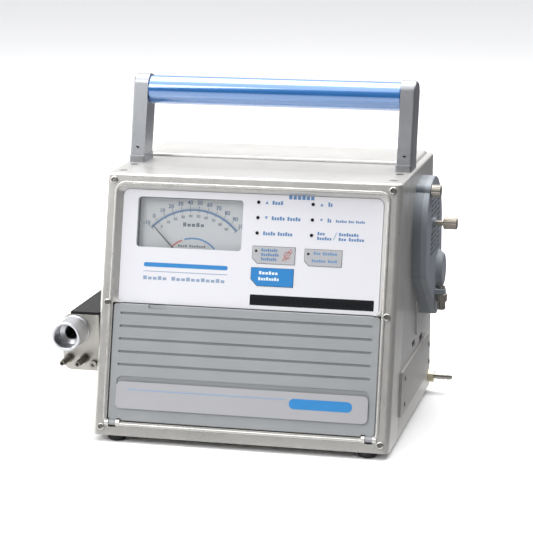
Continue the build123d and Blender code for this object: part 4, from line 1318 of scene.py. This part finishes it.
@dataclass
class FrontCover:
    """The hinged cover over the lower controls."""

    grey: str = "9B9EA0"
    band_grey: str = "AFAFB3"
    blue: str = "2F86C6"
    band_inset: float = 5.6 * MM
    band_low: float = 13.0 * MM
    band_height: float = 20.1 * MM
    band_corner: float = 3.8 * MM
    band_depth: float = 0.8 * MM

    def build(self, frame: dict, panel: PanelFrame) -> None:
        """Dress the cover and print its band."""
        dress(
            frame,
            {
                "front_cover": Moulding(self.grey, 0.42, 2200.0, 0.02 * MM, dust=0.03),
                "cover_hinge_pins": Metal("A8A6A2", 0.3, 1.0, Grain.ALONG_X),
            },
        )
        cover = panel.extent("front_cover")
        level = cover.front - self.band_depth
        left, right = cover.left + self.band_inset, cover.right - self.band_inset
        low = cover.low + self.band_low
        high = low + self.band_height
        band = Print("cover_band", "cover", panel.matrix, level)
        band.bar(left, right, low, high, self.band_corner)
        band.done(Film(self.band_grey, "ABABAF", 0.40))
        line = Print("cover_blue_line", "cover", panel.matrix, level + INK_HEIGHT)
        line.bar(left + 8.3 * MM, right - 61.5 * MM, high - 6.1 * MM, high - 5.6 * MM)
        line.done(Ink("7FA6CE"))
        pill = Print("cover_blue_pill", "cover", panel.matrix, level + INK_HEIGHT)
        pill.bar(right - 58.6 * MM, right - 11.6 * MM, low + 7.6 * MM, low + 15.2 * MM, 3.6 * MM)
        pill.done(Ink(self.blue))


@dataclass
class CarryHandle:
    """The handle's posts, rod and sleeve."""

    silver: str = "A4A6AA"

    def build(self, frame: dict) -> None:
        """Dress the handle."""
        post = Metal(self.silver, 0.34, 0.75, Grain.ALONG_Z, 1700.0, edge_radius=0.8 * MM)
        dress(
            frame,
            {
                "handle_left_post": post,
                "handle_right_post": post,
                "handle_rod": Metal("B5B5B5", 0.3, 1.0, Grain.ALONG_X),
                "handle_grip": GlossPaint("2379C4", "1E71BC"),
                "handle_screws": Metal("8D8B88", 0.32, 1.0),
            },
        )


@dataclass
class Manifold:
    """The gas manifold at the side with its outlet and small barbs."""

    metal: str = "BBB8B1"

    def build(self, frame: dict) -> None:
        """Dress the manifold."""
        low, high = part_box("patient_outlet")
        centre = (low + high) / 2
        dress(
            frame,
            {
                "manifold_block": Metal(self.metal, 0.40, 0.6, Grain.ALONG_Y, 1300.0, edge_radius=0.7 * MM),
                # a near-black finish over the whole of the block's top face, which shows dark
                "manifold_lid": Metal("19191B", 0.50, 0.1, Grain.ALONG_Y, 1200.0, sheen_level=0.3),
                "manifold_screw": Metal("8F8D88", 0.3, 1.0),
                "patient_outlet": TurnedMetal("D2D3D6", tuple(centre), 1, 0.30),
                "pressure_barb": Metal("77746C", 0.34, 1.0),
                "valve_barb": Metal("77746C", 0.34, 1.0),
            },
        )


@dataclass
class AirIntake:
    """The intake on the right side: housing, cover, filter and its screws."""

    blue_grey: str = "9CA1A8"
    plate_thickness: float = 4.0 * MM
    shortest_bar: float = 0.55
    row_pitch: float = 3.7 * MM
    column_pitch: float = 15.0 * MM
    rows: int = 12
    columns: int = 3
    top_row: float = 18.0 * MM
    first_column: float = -4.0 * MM
    clear_width: float = 14.0 * MM
    clear_height: float = 6.5 * MM

    def build(self, frame: dict) -> None:
        """Dress the intake and grow the hatching on its face."""
        knob_low, knob_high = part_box("mixer_knob")
        centre = tuple((knob_low + knob_high) / 2)
        dress(
            frame,
            {
                "inlet_housing": Metal("8A8F95", 0.44, 0.25, edge_radius=0.8 * MM, sheen_level=0.35),
                "inlet_cover": Metal(self.blue_grey, 0.48, 0.2, edge_radius=0.8 * MM, sheen_level=0.3),
                "inlet_filter": Felt("DAD9D0"),
                "upper_thumb_screw": Metal("A9A39B", 0.30, 1.0, Grain.ALONG_X),
                "lower_thumb_screw": Metal("B4AFA7", 0.30, 1.0, Grain.ALONG_Z),
                "mixer_knob": TurnedMetal("A79F96", centre, 0, 0.32),
                "oxygen_nut": Metal("D8CFB2", 0.36, 1.0, blotch=0.2),
                "oxygen_fitting": Metal("B3AFA8", 0.30, 1.0, Grain.ALONG_X, blotch=0.2),
                "door_screws": SCREW_STEEL,
            },
        )
        self._relief(Vector(centre))

    def _relief(self, knob: Vector) -> None:
        """Grow the rows of short raised bars on the cover's face, clear of the knob."""
        face_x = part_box("inlet_housing")[1].x + self.plate_thickness
        tree = GeometryTree(
            "intake_relief_tree",
            {
                "Length": ("NodeSocketFloat", 13.0 * MM),
                "Width": ("NodeSocketFloat", 1.5 * MM),
                "Relief": ("NodeSocketFloat", 0.5 * MM),
                "Seed": ("NodeSocketInt", 7),
            },
        )
        bar = tree.block(tree.value("Relief"), tree.value("Length"), tree.value("Width"))
        spread = {2: self.shortest_bar, 3: 1.0, "Seed": tree.value("Seed")}
        share = tree.node("FunctionNodeRandomValue", {"data_type": "FLOAT"}, spread, 1)
        stretch = tree.node("ShaderNodeCombineXYZ", {}, {"X": 1.0, "Y": share, "Z": 1.0})
        inputs = {"Points": tree.given, "Instance": bar, "Scale": stretch}
        bars = tree.node("GeometryNodeInstanceOnPoints", {}, inputs)
        finish = Metal("5F646B", 0.48, 0.2)
        tree.close(bars, finish.make("intake_relief_finish"))
        points = []
        for row in range(self.rows):
            z = knob.z + self.top_row - row * self.row_pitch
            for column in range(self.columns):
                y = knob.y + self.first_column + column * self.column_pitch
                if abs(y - knob.y) > self.clear_width or abs(z - knob.z) > self.clear_height:
                    points.append((face_x, y, z))
        seeds = point_cloud("intake_relief_points", points)
        settle(tree.grow("intake_relief", seeds, Matrix.Identity(4)), "case")


@dataclass
class Rear:
    """What shows at the back and low on the right side."""

    def build(self, frame: dict) -> None:
        """Dress the back."""
        dress(
            frame,
            {
                "battery_door": Metal("ADABA8", 0.46, 0.25, grain_scale=1400.0, edge_radius=0.6 * MM),
                "fan_guard": Metal("9B9C9E", 0.32, 1.0, Grain.ALONG_X),
                "fan_frame": Moulding("1A1A1C", 0.5),
                "fan_rotor": Moulding("222225", 0.45),
                "power_inlet": Moulding("151517", 0.45, dust=0.08),
            },
        )


@dataclass
class Inside:
    """The pieces inside the case."""

    def build(self, frame: dict) -> None:
        """Dress the inside."""
        dress(
            frame,
            {
                "blower_housing": Metal("B7B8BA", 0.42, 0.9),
                "blower_impeller": Metal("C5C7CA", 0.3, 1.0, Grain.ALONG_X),
                "blower_motor": Metal("4C4E52", 0.4, 0.8),
                "battery_pack": Moulding("2A4E86", 0.35, dust=0.02, coat=0.4),
                "main_board": CircuitBoard("1B6239", "5F8A48"),
            },
        )


def main() -> None:
    """Build the scene, one sub-assembly after another."""
    logging.basicConfig(level=logging.INFO, format="%(message)s")
    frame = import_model()
    panel = PanelFrame(frame)
    Casing().build(frame)
    PressureMeter().build(frame, panel)
    AlarmPanel().build(frame, panel)
    ControlPanel().build(frame, panel)
    FrontCover().build(frame, panel)
    CarryHandle().build(frame)
    Manifold().build(frame)
    AirIntake().build(frame)
    Rear().build(frame)
    Inside().build(frame)
    Studio().build()


if __name__ == "__main__":
    main()
